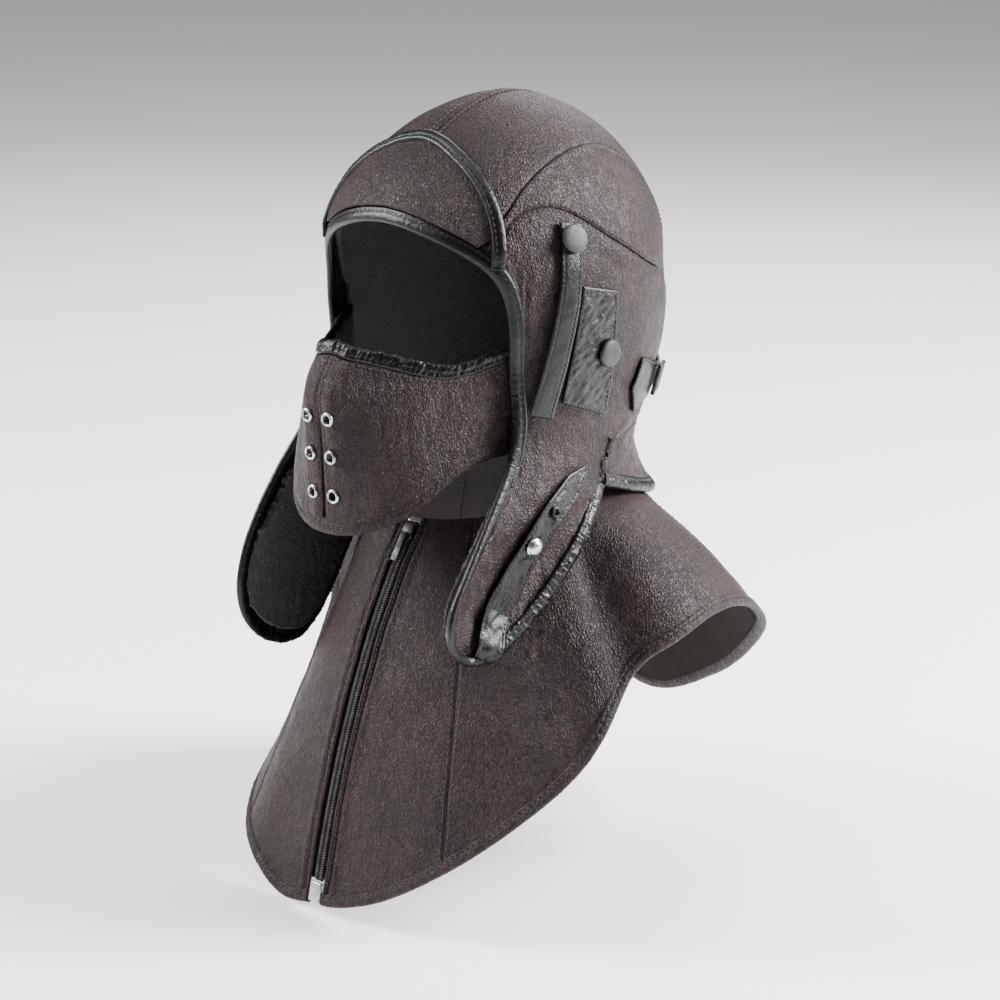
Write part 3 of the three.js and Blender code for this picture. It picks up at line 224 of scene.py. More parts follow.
# level, half width, reach to the front, reach to the back
HOOD_LOW = [(-92, 90.5, 99, 103), (-125, 91, 99, 105), (-155, 89, 98, 98), (-185, 84, 96, 83),
            (-203, 82, 95, 79), (-222, 84, 95, 88), (-245, 90, 95, 104), (-275, 95, 96, 110)]
OPENING = [(0, -91.5, -63), (15, -91, -64.5), (29.5, -89, -68), (43, -85, -73), (55, -79, -79.5),
           (62, -74, -85.5), (67, -69, -94), (70, -66, -105), (71.5, -64.5, -120), (71, -64, -146)]
NEAR_FLAP = [(75, -66, -171), (79, -73, -190), (84, -88, -208), (89, -104, -226), (93, -119, -243),
             (95, -131, -258), (95, -134, -272), (93, -128, -285), (91, -115, -295), (91, -99, -297),
             (93, -81, -289), (95, -60, -274), (96, -40, -257), (94, -22, -241), (88, -6, -227)]
FAR_FLAP = [(76, -67, -171), (82, -74, -190), (88, -89, -214), (92, -104, -239), (94, -116, -264),
            (94, -122, -287), (94, -119, -306), (94, -107, -322), (94, -90, -331), (94, -73, -331),
            (94, -57, -320), (95, -40, -299), (95, -25, -275), (92, -12, -252), (87, -2, -232)]
CENTRE_SEAM = [(0, -88, -56), (0, -50, -19), (0, 8, 0), (0, 62, -20), (0, 98, -70), (0, 104, -130),
               (0, 83, -184)]
CROWN_SEAM = [(57, -74, -73), (63, -57, -55), (62, -40, -41), (60, -10, -28), (57, 24, -26), (58, 50, -42),
              (52, 82, -92), (40, 92, -140), (28, 78, -184)]
SIDE_SEAM = [(64, -68, -80), (66, -54, -58), (74, -34, -53), (88, 3, -74), (87, 32, -90), (74, 64, -106),
             (60, 78, -140), (46, 71, -186)]
NAPE_SEAM = [(0, 83, -184), (28, 78, -184), (46, 71, -186), (60, 57, -187), (73, 40, -189), (82, 12, -195)]
FLAP_SEAM = [(82, 12, -195), (82, 6, -202), (82.3, -1.5, -208.5)]
ROOT_NOTCH = (84, 3, -219)
NAPE_EDGE = [(84, 3, -219), (83, 30, -227), (66, 66, -237), (35, 94, -243), (0, 101, -245)]
VISOR_ARCH = [(0, -51, -19), (14, -52.4, -21.2), (27, -54.7, -26.5), (40, -56, -34.5), (52, -57.5, -45),
              (61, -59.5, -57), (66.5, -62, -69), (69, -64.5, -80)]

# level, reach, fullness; and turn, top level, foot level
MASK_PROFILE = [(-117, 127, 1.26), (-127, 130.5, 1.26), (-139, 139.3, 1.28), (-150, 144.8, 1.34),
                (-158, 145.2, 1.4), (-167, 143.7, 1.5), (-180, 141.8, 1.66), (-195, 140.5, 1.84),
                (-210, 139.4, 2), (-240, 138.6, 2.05)]
MASK_EDGES = [(0, -123, -232.5), (0.21, -124, -231.6), (0.36, -125.7, -229), (0.5, -128, -226),
              (0.64, -130.6, -221.7), (0.79, -134, -215.6), (0.93, -136, -206.8), (1.07, -134, -197),
              (1.21, -130, -192), (1.4, -127, -190), (1.66, -125, -189)]
MASK_HALF, MASK_HUB, MASK_TURN, MASK_THICK, MASK_FLARE = 70.0, -50.0, 1.66, 2.2, 0.6
MASK_EDGE, MASK_EDGE_THICK = 8.0, 4.6
EYELET_SIDE, EYELET_LEVELS = 8.0, (-165.0, -187.0, -209.5)

# bearing, hem radius, hem level, bend radius, bend level
CAPE_FALL = [(0, 152, -452, 120, -307), (16, 154, -441, 118, -303), (32, 158, -416, 116, -296),
             (47, 160, -386, 114, -284), (60, 160, -356, 113, -270), (70, 160, -323, 114, -256),
             (80, 159, -296, 118, -243), (95, 158, -281, 122, -236), (110, 160, -287, 124, -242),
             (125, 163, -312, 125, -255), (137, 159, -336, 124, -266), (158, 154, -374, 122, -280),
             (180, 150, -398, 120, -288), (202, 154, -374, 122, -280), (223, 159, -336, 124, -266),
             (235, 163, -312, 125, -255), (249, 160, -289, 122, -243), (262, 156, -283, 118, -238),
             (274, 147, -291, 108, -244), (284, 133, -304, 97, -256), (293, 121, -323, 88, -270),
             (302, 120, -356, 84, -284), (310, 132, -394, 85, -294), (320, 148, -421, 92, -300),
             (334, 156, -439, 106, -303), (348, 154, -455, 117, -306), (360, 152, -452, 120, -307)]
NECK = dict(front=66, side=72, back=76, front_z=-238, side_z=-226, back_z=-220)
CREASES = [(75, 7, 12.5, 0.6), (284, 14, 18, 0.35)]
CAPE_THICK, HEM_WIDTH, HEM_THICK = 2.2, 6.5, 4.6
ZIP_HALF, ZIP_LEATHER, TAPE_OUT = 3.2, 5.2, 14.0


# ---------------------------------------------------------------- surfaces
def seat(p):
    """The point of the hood's outer surface that belongs to a point near it."""
    p = np.asarray(p, float)
    x, y, z = p[..., 0], p[..., 1], p[..., 2]
    rise = np.clip((z - WIDEST) / (TOP - WIDEST), 0, None)
    lean_y = y - LEAN * rise**2
    flat = ((np.abs(x) / HALF) ** SQUARE
            + (np.abs(lean_y) / np.where(lean_y < 0, FRONT, BACK)) ** SQUARE) ** (1 / SQUARE)
    scale = np.maximum(flat**DOME + rise**DOME, 1e-12) ** (-1 / DOME)
    dome = np.stack([x * scale, lean_y * scale + LEAN * (rise * scale) ** 2,
                     WIDEST + (z - WIDEST) * scale], -1)
    cut = look_up(HOOD_LOW, z)
    low = ((np.abs(x) / cut[..., 0]) ** SQUARE
           + (np.abs(y) / np.where(y < 0, cut[..., 1], cut[..., 2])) ** SQUARE)
    low = np.maximum(low, 1e-12) ** (-1 / SQUARE)
    wall = np.stack([x * low, y * low, z], -1)
    return np.where((z > WIDEST)[..., None], dome, wall)


def hood_depth(p):
    centre = np.stack([0 * p[..., 0], 0 * p[..., 1], np.minimum(p[..., 2], WIDEST)], -1)
    return np.linalg.norm(p - centre, axis=-1) - np.linalg.norm(seat(p) - centre, axis=-1)


def hood_normal(p):
    p = np.asarray(p, float)
    return unit(np.stack([hood_depth(p + step) - hood_depth(p - step) for step in 0.5 * np.eye(3)], -1))


def squared(n, tangent):
    """A direction made square to an edge's tangent, and the way inward from that edge."""
    n = unit(n - tangent * dot(n, tangent))
    return n, np.cross(n, tangent)


def like(n, guide):
    """Directions turned over where they face away from a guide."""
    return n * np.where(dot(n, guide) < 0, -1, 1)


FLAP_FACING = unit(np.array([1, -0.12, 0.1]))


def outline_normal(p):
    w = ease((-165 - p[..., 2:]) / 35)
    return unit(hood_normal(seat(p)) * (1 - w) + FLAP_FACING * w)


def fill(top, foot, left, right, s, t):
    """Grid between four border runs, at shares s across and t down."""
    s, t = s[None, :, None], t[:, None, None]
    return (top[None] * (1 - t) + foot[None] * t + left[:, None] * (1 - s) + right[:, None] * s
            - top[0] * (1 - s) * (1 - t) - top[-1] * s * (1 - t) - foot[0] * (1 - s) * t - foot[-1] * s * t)


CROWN_N, UPPER_N, EAR_N, TIP_N, REAR_N = 4, 2, 14, 12, 8
NAPE_N, ROOT_N = 4, 2
CUTS = np.cumsum([0, CROWN_N, UPPER_N, EAR_N, TIP_N, REAR_N])
INSET = 6.5


class Half:
    """One half's outline: brow centre at station 0, round the flap to its root at station 40."""

    def __init__(self, flap, tip_from, tip_to, hollow, rim_turn):
        rows = np.vstack([seat(OPENING), flap, seat(ROOT_NOTCH)[None]])
        self.curve = Line(rows)
        start = self.curve.share_near(np.array(flap[0], float))
        self.shares = [0, self.curve.share_near(seat(CROWN_SEAM[0])), self.curve.share_near(seat(SIDE_SEAM[0])),
                       mix(start, 1, tip_from), mix(start, 1, tip_to), 1]
        self.hollow = hollow
        self.rim_turn = math.radians(rim_turn)

    def line(self, k):
        k = np.asarray(k, float)
        return handed(self.curve.at(np.interp(np.abs(k), CUTS, self.shares)), k < 0)

    def frame(self, k):
        p = self.line(k)
        k = np.asarray(k, float)
        tangent = unit(self.line(np.minimum(k + 0.15, CUTS[-1])) - self.line(k - 0.15))
        n, inward = squared(outline_normal(p), tangent)
        turn = (self.rim_turn * ease((k - 13) / 5) * ease((27 - k) / 5))[..., None]
        return n * np.cos(turn) + inward * np.sin(turn), inward * np.cos(turn) - n * np.sin(turn)

    def inset(self, k, by=INSET):
        return self.line(k) + self.frame(k)[1] * by


near_half = Half(NEAR_FLAP, 0.43, 0.67, 11, 60)
far_half = Half(FAR_FLAP, 0.42, 0.62, 3, 0)
nape_line = Line(seat(Line(NAPE_SEAM).at(np.arange(61) / 60)))


def nape_turn(row):
    points = seat(Line(NAPE_SEAM).at(np.arange(61) / 60))
    return np.argmin(np.linalg.norm(points - seat(row), axis=1)) / 60


CROWN_TURN, SIDE_TURN = nape_turn(CROWN_SEAM[-1]), nape_turn(SIDE_SEAM[-1])


def seams_of(half):
    """The half's centre, crown, side and flap root seams, as functions of a share."""
    runs = {
        "centre": Line([half.inset(0)] + CENTRE_SEAM[1:]),
        "crown": Line([seat(half.inset(CUTS[1]))] + CROWN_SEAM[1:-1] + [nape_line.at(CROWN_TURN)]),
        "side": Line([seat(half.inset(CUTS[2]))] + SIDE_SEAM[1:-1] + [nape_line.at(SIDE_TURN)]),
        "root": Line(FLAP_SEAM + [(83.3, 1.2, -214.8)]),
    }
    return {name: (lambda t, run=run: seat(run.at(t))) for name, run in runs.items()}


def close_lines(length, step, near=(0.5, 1.1, 1.8, 2.7, 3.8, 5.2)):
    """Shares of a run of grid lines, evenly spaced with closer ones near both ends."""
    even = np.linspace(0, 1, max(int(length / step), 4) + 1)
    close = np.array([d / length for d in near])
    middle = even[(even > close[-1] * 1.05) & (even < 1 - close[-1] * 1.05)]
    return np.concatenate([[0], close, middle, 1 - close[::-1], [1]])


FINE_RIM = (0.35, 0.8, 1.4, 2.0, 2.7)
SHORT_RIM = (0.5, 1.1, 1.8, 2.7, 3.8)


# the two seams of a strip, its stations on the face edge and its shares of the nape seam
CROWN_STRIP = (("centre", "crown"), (0, CUTS[1]), (0, CROWN_TURN))
UPPER_STRIP = (("crown", "side"), (CUTS[1], CUTS[2]), (CROWN_TURN, SIDE_TURN))


def strip_grid(half, strip, s, t):
    (left, right), cuts, turns = strip
    seams = seams_of(half)
    top = seat(half.inset(mix(*cuts, s)))
    foot = nape_line.at(mix(*turns, s))
    return seat(fill(top, foot, seams[left](t), seams[right](t), s, t))


def ear_grid(half, s, t):
    seams = seams_of(half)
    top = seams["side"](s)
    foot = half.inset(mix(CUTS[3], CUTS[4], s))
    left = half.inset(mix(CUTS[2], CUTS[3], t))
    blend = (1 - ease((-158 - left[:, 2:]) / 30))
    left = left * (1 - blend) + seat(left) * blend
    left += (top[0] - left[0]) * (1 - np.clip(t * EAR_N, 0, 1))[:, None]
    row = t * EAR_N
    nape = nape_line.at(mix(SIDE_TURN, 1, np.clip(row / NAPE_N, 0, 1)))
    root = seams["root"](np.clip((row - NAPE_N) / ROOT_N, 0, 1))
    k = CUTS[-1] - np.clip(row - NAPE_N - ROOT_N, 0, REAR_N)
    rear = half.inset(k)
    miss = seams["root"](np.array([1.0])) - half.inset(np.array([40.0]))
    rear += miss * np.clip(1 - (CUTS[-1] - k), 0, 1)[:, None]
    right = np.where((row <= NAPE_N)[:, None], nape, np.where((row <= NAPE_N + ROOT_N)[:, None], root, rear))
    grid = fill(top, foot, left, right, s, t)
    ss, tt = np.meshgrid(s, t)
    rim = np.clip(np.minimum.reduce([ss * 12, (1 - ss) * 12, tt * 14, (1 - tt) * 14]), 0, 1)
    z = grid[..., 2]
    settle = rim * (1 - ease((mix(-164, -190, ss) - z) / 60))
    grid = grid + (seat(grid) - grid) * settle[..., None]
    down = ease((-190 - z) / 60)
    bowl = half.hollow * down * (4 * ss * (1 - ss)) ** 1.3 * (1 - tt**8 * 0.5) * ease((1 - tt) * EAR_N / 1.6)
    return grid - FLAP_FACING * bowl[..., None]


def nape_station(m):
    """Point of the nape seam at a station from 0, at the left flap root, to 20 at the right one."""
    half_m = np.where(m > 10, 20 - m, m)
    share = np.interp(half_m, [0, 4, 6, 10], [1, SIDE_TURN, CROWN_TURN, 0])
    return handed(nape_line.at(share), m > 10)


nape_edge = Line(seat(NAPE_EDGE))


def nape_edge_at(m):
    return handed(nape_edge.at(np.where(m > 10, 20 - m, m) / 10), m > 10)


def nape_frame(m):
    tangent = unit(nape_edge_at(np.minimum(m + 0.1, 20)) - nape_edge_at(np.maximum(m - 0.1, 0)))
    return squared(hood_normal(nape_edge_at(m)), tangent)


def nape_grid(s, t):
    m = 20 * s
    top = nape_station(m)
    foot = seat(nape_edge_at(m) + nape_frame(m)[1] * INSET)
    left = seams_of(near_half)["root"](t)
    pull = np.clip(1 - np.minimum(m, 20 - m), 0, 1)[:, None]
    foot = foot + pull * np.where((m < 10)[:, None], left[-1] - foot[0], mirrored(left[-1]) - foot[-1])
    return seat(fill(top, foot, left, mirrored(left), s, t))


def mask_point(turn, z):
    level = look_up(MASK_PROFILE, z)
    reach, power = level[..., 0] + MASK_HUB, 2 / level[..., 1]
    s, c = np.sin(turn), np.cos(turn)
    flare = MASK_FLARE * ease((np.abs(turn) - 1.15) / (MASK_TURN - 1.15))
    x = MASK_HALF * np.abs(s) ** power + flare
    return np.stack(np.broadcast_arrays(x * np.sign(s), MASK_HUB - reach * np.sign(c) * np.abs(c) ** power, z), -1)


def mask_skin(turn, z):
    """The mask's surface, with the leather between the eyelet rows pressed flatter than the solid's ridge."""
    p = mask_point(turn, z)
    x = np.abs(p[..., 0])
    ridge = ease((2.1 - look_up(MASK_PROFILE, p[..., 2])[..., 1]) / 0.7)
    press = 2.2 * hump(x, 0, 6) - 2.0 * hump(x, 12, 6)
    return p + (press * ridge)[..., None] * np.array([0, 1.0, 0])


def from_hub(p):
    return (p - np.array([0, MASK_HUB, 0])) * np.array([1, 1, 0])


def mask_edge(turn):
    return look_up(MASK_EDGES, np.abs(turn))


def cape_point(bearing, v):
    bearing, v = np.broadcast_arrays(np.asarray(bearing, float), np.asarray(v, float))
    turn = np.mod(bearing, 360)
    row = look_up(CAPE_FALL, turn)
    b = np.radians(turn)
    ahead, sideways = (1 + np.cos(b)) / 2, np.sin(b) ** 2
    neck_r = mix(mix(NECK["back"], NECK["front"], ahead), NECK["side"], sideways)
    neck_z = mix(mix(NECK["back_z"], NECK["front_z"], ahead), NECK["side_z"], sideways)
    w = 1 - v
    r = w * w * neck_r + 2 * w * v * row[..., 2] + v * v * row[..., 0]
    z = w * w * neck_z + 2 * w * v * row[..., 3] + v * v * row[..., 1]
    fold = sum(depth * hump(turn, at, spread) * ease(v / full)
               for at, spread, depth, full in CREASES)
    return np.stack([np.sin(b) * (r - fold), -np.cos(b) * (r - fold), z], -1)


def cape_normal(bearing, v):
    aside = cape_point(bearing + 0.5, v) - cape_point(bearing - 0.5, v)
    down = cape_point(bearing, np.minimum(v + 0.01, 1.02)) - cape_point(bearing, np.maximum(v - 0.01, 0))
    return unit(np.cross(down, aside))


def zip_bearing(v, x):
    p = cape_point(0.0, v)
    return np.degrees(np.arcsin(x / np.hypot(p[..., 0], p[..., 1])))


def hem_step(bearing, by):
    """The change of bearing and of fall that steps in from the hem, with the way inward and the normal."""
    p = cape_point(bearing, 1.0)
    aside = (cape_point(bearing + 1, 1.0) - cape_point(bearing - 1, 1.0)) / 2
    down = (p - cape_point(bearing, 0.98)) / 0.02
    normal = unit(np.cross(down, aside))
    inward = unit(np.cross(aside, normal))
    inward *= -np.sign(dot(inward, down))
    each = lambda a, b: dot(a, b)[..., 0]
    aa, ad, dd = each(aside, aside), each(aside, down), each(down, down)
    ia, idn = each(inward, aside) * by, each(inward, down) * by
    det = aa * dd - ad * ad
    return (ia * dd - idn * ad) / det, (idn * aa - ia * ad) / det, inward, normal


# ---------------------------------------------------------------- finishes
def node_group(name, inputs, outputs):
    group = bpy.data.node_groups.new(name, "ShaderNodeTree")
    for label, value in inputs:
        group.interface.new_socket(name=label, in_out="INPUT", socket_type="NodeSocketFloat").default_value = value
    for label, kind in outputs:
        group.interface.new_socket(name=label, in_out="OUTPUT", socket_type="NodeSocket" + kind)
    return group, group.nodes.new("NodeGroupInput"), group.nodes.new("NodeGroupOutput")


def add(tree, kind, values=(), **settings):
    node = tree.nodes.new("ShaderNode" + kind)
    for key, value in settings.items():
        setattr(node, key, value)
    for socket, value in dict(values).items():
        if isinstance(value, bpy.types.NodeSocket):
            tree.links.new(value, node.inputs[socket])
        else:
            node.inputs[socket].default_value = value
    return node


def stretched(tree, scale):
    place = add(tree, "TexCoord")
    return add(tree, "Mapping", {"Vector": place.outputs["Object"], "Scale": scale}).outputs["Vector"]


def ramp(tree, value, low, high, to_low=0.0, to_high=1.0):
    return add(tree, "MapRange", {"Value": value, "From Min": low, "From Max": high, "To Min": to_low,
                                  "To Max": to_high}, interpolation_type="SMOOTHSTEP").outputs["Result"]


def maths(tree, kind, a, b):
    return add(tree, "Math", {0: a, 1: b}, operation=kind).outputs[0]


def speckle(tree, scale, detail, stretch=(1, 1, 1), **more):
    return add(tree, "TexNoise", {"Vector": stretched(tree, stretch), "Scale": scale, "Detail": detail,
                                  **more}).outputs["Fac"]


def hide_grain():
    """Pebbled grain with fine creases: height, a slow change of tone, and a mask that is low in the grain's valleys,
    used for their painted shade and for the gloss of the worn high places.
    """
    group, given, out = node_group(
        "hide_grain", [("Cells per metre", 800.0), ("Crease", 0.5), ("Drift per metre", 30.0)],
        [("Height", "Float"), ("Tone", "Float"), ("Valley shade and rub", "Float")])
    hang = (1, 1, 0.72)
    where = stretched(group, hang)
    times = lambda a, b: maths(group, "MULTIPLY", a, b)
    plus = lambda a, b: maths(group, "ADD", a, b)
    bend = add(group, "TexNoise", {"Vector": where, "Scale": 260.0, "Detail": 3.0})
    shift = add(group, "VectorMath", {0: bend.outputs["Color"], "Scale": 0.0016}, operation="SCALE")
    shaken = add(group, "VectorMath", {0: where, 1: shift.outputs[0]}, operation="ADD")
    cells = add(group, "TexVoronoi", {"Vector": shaken.outputs[0], "Scale": given.outputs["Cells per metre"]},
                feature="DISTANCE_TO_EDGE")
    pebble = ramp(group, cells.outputs["Distance"], 0.0, 0.28)
    fine = speckle(group, 1700.0, 2.0, hang)
    crease = speckle(group, 190.0, 4.0, (1, 1, 0.35), Roughness=0.62, Distortion=0.6)
    line = ramp(group, maths(group, "ABSOLUTE", maths(group, "SUBTRACT", crease, 0.5), 0.0), 0.0, 0.07)
    height = plus(plus(times(pebble, 0.55), times(fine, 0.3)), times(line, given.outputs["Crease"]))
    drift = speckle(group, given.outputs["Drift per metre"], 3.0, hang)
    blotch = speckle(group, 330.0, 4.0, hang, Roughness=0.7)
    tone = ramp(group, plus(times(drift, 0.6), times(blotch, 0.4)), 0.34, 0.66)
    for label, value in (("Height", height), ("Tone", tone), ("Valley shade and rub", times(pebble, line))):
        group.links.new(value, out.inputs[label])
    return group


def new_material(name, **shader_values):
    """A material, kept with the name of its slot, and its node tree and shader."""
    material = bpy.data.materials.new(name)
    material.use_nodes = True
    tree = material.node_tree
    shader = tree.nodes["Principled BSDF"]
    for socket, value in shader_values.items():
        shader.inputs[socket.replace("_", " ")].default_value = value
    return material, tree, shader


def use_group(tree, group, **values):
    node = tree.nodes.new("ShaderNodeGroup")
    node.node_tree = group
    for socket, value in values.items():
        node.inputs[socket.replace("_", " ")].default_value = value
    return node


def two_tones(tree, mask, low, high):
    """Two colours, or two outputs of other nodes, mixed by a mask."""
    low, high = (c if isinstance(c, bpy.types.NodeSocket) else (*c, 1) for c in (low, high))
    return add(tree, "Mix", {"Factor": mask, 6: low, 7: high}, data_type="RGBA").outputs[2]


def bump(tree, height, metres):
    return add(tree, "Bump", {"Height": height, "Distance": metres, "Strength": 1.0}).outputs["Normal"]


def tint(tree, shader, mask, low, high):
    tree.links.new(two_tones(tree, mask, low, high), shader.inputs["Base Color"])


def relief(tree, shader, height, metres):
    tree.links.new(bump(tree, height, metres), shader.inputs["Normal"])


def leather(name, dark, light, *, roughness, cells, crease, depth, gloss, shine):
    """Grained leather in two tones, with painted shade darkening the grain's valleys. depth is the grain's height in
    metres.
    """
    material, tree, shader = new_material(name, Specular_IOR_Level=shine, Coat_Roughness=0.24)
    grain = use_group(tree, GRAIN, Cells_per_metre=cells, Crease=crease)
    face = two_tones(tree, grain.outputs["Tone"], dark, light)
    # painted shade: the grain's low places and crease lines are tinted darker, to 0.35 of the dark tone
    valley_shade = tuple(0.35 * c for c in dark)
    tint(tree, shader, ramp(tree, grain.outputs["Valley shade and rub"], 0.0, 0.3), valley_shade, face)
    height, rubbed = grain.outputs["Height"], grain.outputs["Valley shade and rub"]
    normal = bump(tree, height, depth)
    for label, value in (("Roughness", ramp(tree, height, 0.2, 1.3, roughness + 0.18, roughness)),
                         ("Coat Weight", ramp(tree, rubbed, 0.0, 1.0, 0.35 * gloss, gloss)),
                         ("Normal", normal), ("Coat Normal", normal)):
        tree.links.new(value, shader.inputs[label])
    return material


def fleece_material():
    material, tree, shader = new_material("black_fleece", Roughness=0.95, Specular_IOR_Level=0.15)
    shader.inputs["Sheen Weight"].default_value = 0.25
    shader.inputs["Sheen Roughness"].default_value = 0.6
    curl = speckle(tree, 420.0, 5.0, Roughness=0.75, Distortion=1.6)
    tint(tree, shader, ramp(tree, curl, 0.35, 0.7), (0.002, 0.002, 0.002), (0.022, 0.020, 0.019))
    relief(tree, shader, curl, 0.0025)
    return material


# heights in metres between which the flesh side fades from brown to painted shade, black near the neck
NECK_SHADE_LEVELS = (-0.285, -0.262)


def flesh_material():
    """The cape's inner side: napped brown flesh side, with painted shade turning it black near the neck, above two
    levels.
    """
    material, tree, shader = new_material("flesh_side", Roughness=0.9, Specular_IOR_Level=0.2)
    nap = speckle(tree, 520.0, 5.0, Roughness=0.7)
    brown = two_tones(tree, nap, (0.006, 0.0035, 0.003), (0.020, 0.012, 0.010))
    level = add(tree, "SeparateXYZ", {"Vector": stretched(tree, (1, 1, 1))}).outputs["Z"]
    # painted shade: black on the inner side near the neck, fading to brown below
    tint(tree, shader, ramp(tree, level, *NECK_SHADE_LEVELS), brown, (0.003, 0.003, 0.003))
    relief(tree, shader, nap, 0.001)
    return material


def tape_material():
    material, tree, shader = new_material("zip_tape", Roughness=0.8)
    weave = add(tree, "TexWave", {"Vector": stretched(tree, (1, 1, 1)), "Scale": 420.0, "Distortion": 0.6},
                bands_direction="DIAGONAL")
    tint(tree, shader, weave.outputs["Fac"], (0.003, 0.003, 0.003), (0.018, 0.018, 0.02))
    relief(tree, shader, weave.outputs["Fac"], 0.0004)
    return material


def thread_material(name, colour):
    material, tree, shader = new_material(name, Roughness=0.6)
    ply = speckle(tree, 2600.0, 2.0)
    tint(tree, shader, ply, tuple(0.5 * c for c in colour), colour)
    relief(tree, shader, ply, 0.0002)
    return material


def metal_material(name, dark, light, roughness, metallic=1.0):
    material, tree, shader = new_material(name, Metallic=metallic)
    scuff = speckle(tree, 900.0, 4.0, (1, 1, 0.3))
    cloud = speckle(tree, 160.0, 3.0)
    tint(tree, shader, ramp(tree, cloud, 0.35, 0.65), dark, light)
    tree.links.new(ramp(tree, scuff, 0.35, 0.7, roughness, roughness + 0.16), shader.inputs["Roughness"])
    relief(tree, shader, scuff, 0.00006)
    return material


GRAIN = hide_grain()
BROWN = leather("brown_leather", (0.0105, 0.0037, 0.0031), (0.032, 0.0134, 0.0116), roughness=0.43, cells=600.0,
                crease=0.45, depth=0.0004, gloss=0.04, shine=0.27)
BLACK = leather("black_leather", (0.0010, 0.0010, 0.0012), (0.0030, 0.0029, 0.0034), roughness=0.25, cells=850.0,
                crease=0.3, depth=0.0001, gloss=0.2, shine=0.27)
FLEECE = fleece_material()
FLESH = flesh_material()
TAPE = tape_material()
BROWN_THREAD = thread_material("brown_thread", (0.05, 0.036, 0.033))
BLACK_THREAD = thread_material("black_thread", (0.014, 0.014, 0.015))
STEEL = metal_material("eyelet_steel", (0.34, 0.35, 0.37), (0.62, 0.63, 0.65), 0.24)
GUNMETAL = metal_material("gunmetal", (0.018, 0.018, 0.02), (0.05, 0.05, 0.055), 0.36)
CAP = metal_material("matt_caps", (0.014, 0.014, 0.016), (0.034, 0.034, 0.038), 0.5, 0.2)
TEETH = metal_material("zip_teeth", (0.012, 0.012, 0.013), (0.05, 0.05, 0.052), 0.38, 0.0)
NICKEL = metal_material("zip_steel", (0.42, 0.43, 0.44), (0.7, 0.7, 0.71), 0.3)


# ---------------------------------------------------------------- ways of making a piece
def to_metres(p):
    return (np.asarray(p, float) + np.array([0, 0, CROWN_WALL])) * MM


rng = np.random.default_rng(11)
SHUFFLE = rng.permutation(256)
SLOPES = unit(rng.normal(size=(256, 3)))


def ripple(p):
    """Smooth noise between about -0.6 and 0.6, one swell to a unit."""
    cell = np.floor(p).astype(int)
    f = p - cell
    w = f * f * f * (f * (f * 6 - 15) + 10)
    total = 0
    for corner in np.ndindex(2, 2, 2):
        k = SHUFFLE[(cell[..., 0] + corner[0]) & 255]
        k = SHUFFLE[(k + cell[..., 1] + corner[1]) & 255]
        k = SHUFFLE[(k + cell[..., 2] + corner[2]) & 255]
        weight = np.prod(np.where(np.array(corner), w, 1 - w), axis=-1)
        total = total + weight * np.sum(SLOPES[k] * (f - np.array(corner)), axis=-1)
    return total


def puckers(p, size, seed):
    """Soft lobes with sharp valleys between them, 0 to about 1."""
    return np.abs(ripple(p / np.array(size) + seed)) * 2.2


def grid_normals(grid, guide):
    return like(unit(np.cross(np.gradient(grid, axis=1), np.gradient(grid, axis=0))), guide)


def grid_bmesh(points, guide):
    """A bmesh grid laid over rows of points, facing the way of a guide vector or of a field of them."""
    guide = Vector(np.reshape(guide, (-1, 3)).sum(0))
    rows, columns = points.shape[:2]
    bm = bmesh.new()
    bm.loops.layers.uv.new("UVMap")
    bmesh.ops.create_grid(bm, x_segments=columns - 1, y_segments=rows - 1, size=0.5, calc_uvs=True)
    place = to_metres(points)
    for v in bm.verts:
        v.co = place[round((v.co.y + 0.5) * (rows - 1)), round((v.co.x + 0.5) * (columns - 1))]
    bm.normal_update()
    if sum(face.normal.dot(guide) for face in bm.faces) < 0:
        bmesh.ops.reverse_faces(bm, faces=bm.faces)
    return bm


def dress(piece, nodes, material):
    piece.data.materials.clear()
    piece.data.materials.append(material)
    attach(piece, "root")
    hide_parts(*nodes)
    return piece


def with_wall(piece, thick, inner_side=0):
    """Gives a skin its thickness, with the material slot of its inner side."""
    wall = piece.modifiers.new("wall", "SOLIDIFY")
    wall.material_offset = inner_side
    wall.thickness = thick * MM
    wall.offset = -1
    return piece


def laid(name, points, guide, wall, nodes, material, inner_side=0):
    """A skin with a wall, laid over rows of points."""
    return dress(with_wall(mesh_object(name, grid_bmesh(points, guide)), wall, inner_side), nodes, material)


def weld(bm):
    bmesh.ops.remove_doubles(bm, verts=bm.verts, dist=1e-6)


def border_distance(grid, sides):
    """Millimetres from each grid point to the nearest of some borders: l, r, t or f."""
    across = np.linalg.norm(np.diff(grid, axis=1), axis=-1)
    down = np.linalg.norm(np.diff(grid, axis=0), axis=-1)
    run_x = np.concatenate([np.zeros((grid.shape[0], 1)), np.cumsum(across, axis=1)], axis=1)
    run_y = np.concatenate([np.zeros((1, grid.shape[1])), np.cumsum(down, axis=0)], axis=0)
    choice = {"l": run_x, "r": run_x[:, -1:] - run_x, "t": run_y, "f": run_y[-1:] - run_y}
    return np.minimum.reduce([choice[side] for side in sides])


def beside(points, side, distance, values=None):
    """The line on a grid that runs at a distance from one of its borders, or other values of the grid along it."""
    turn = {"l": lambda g: g, "r": lambda g: g[:, ::-1], "t": lambda g: g.swapaxes(0, 1),
            "f": lambda g: g[::-1].swapaxes(0, 1)}[side]
    field = turn(points if values is None else values)
    return np.array([along(run_of(row), kept, distance) for row, kept in zip(turn(points), field)])


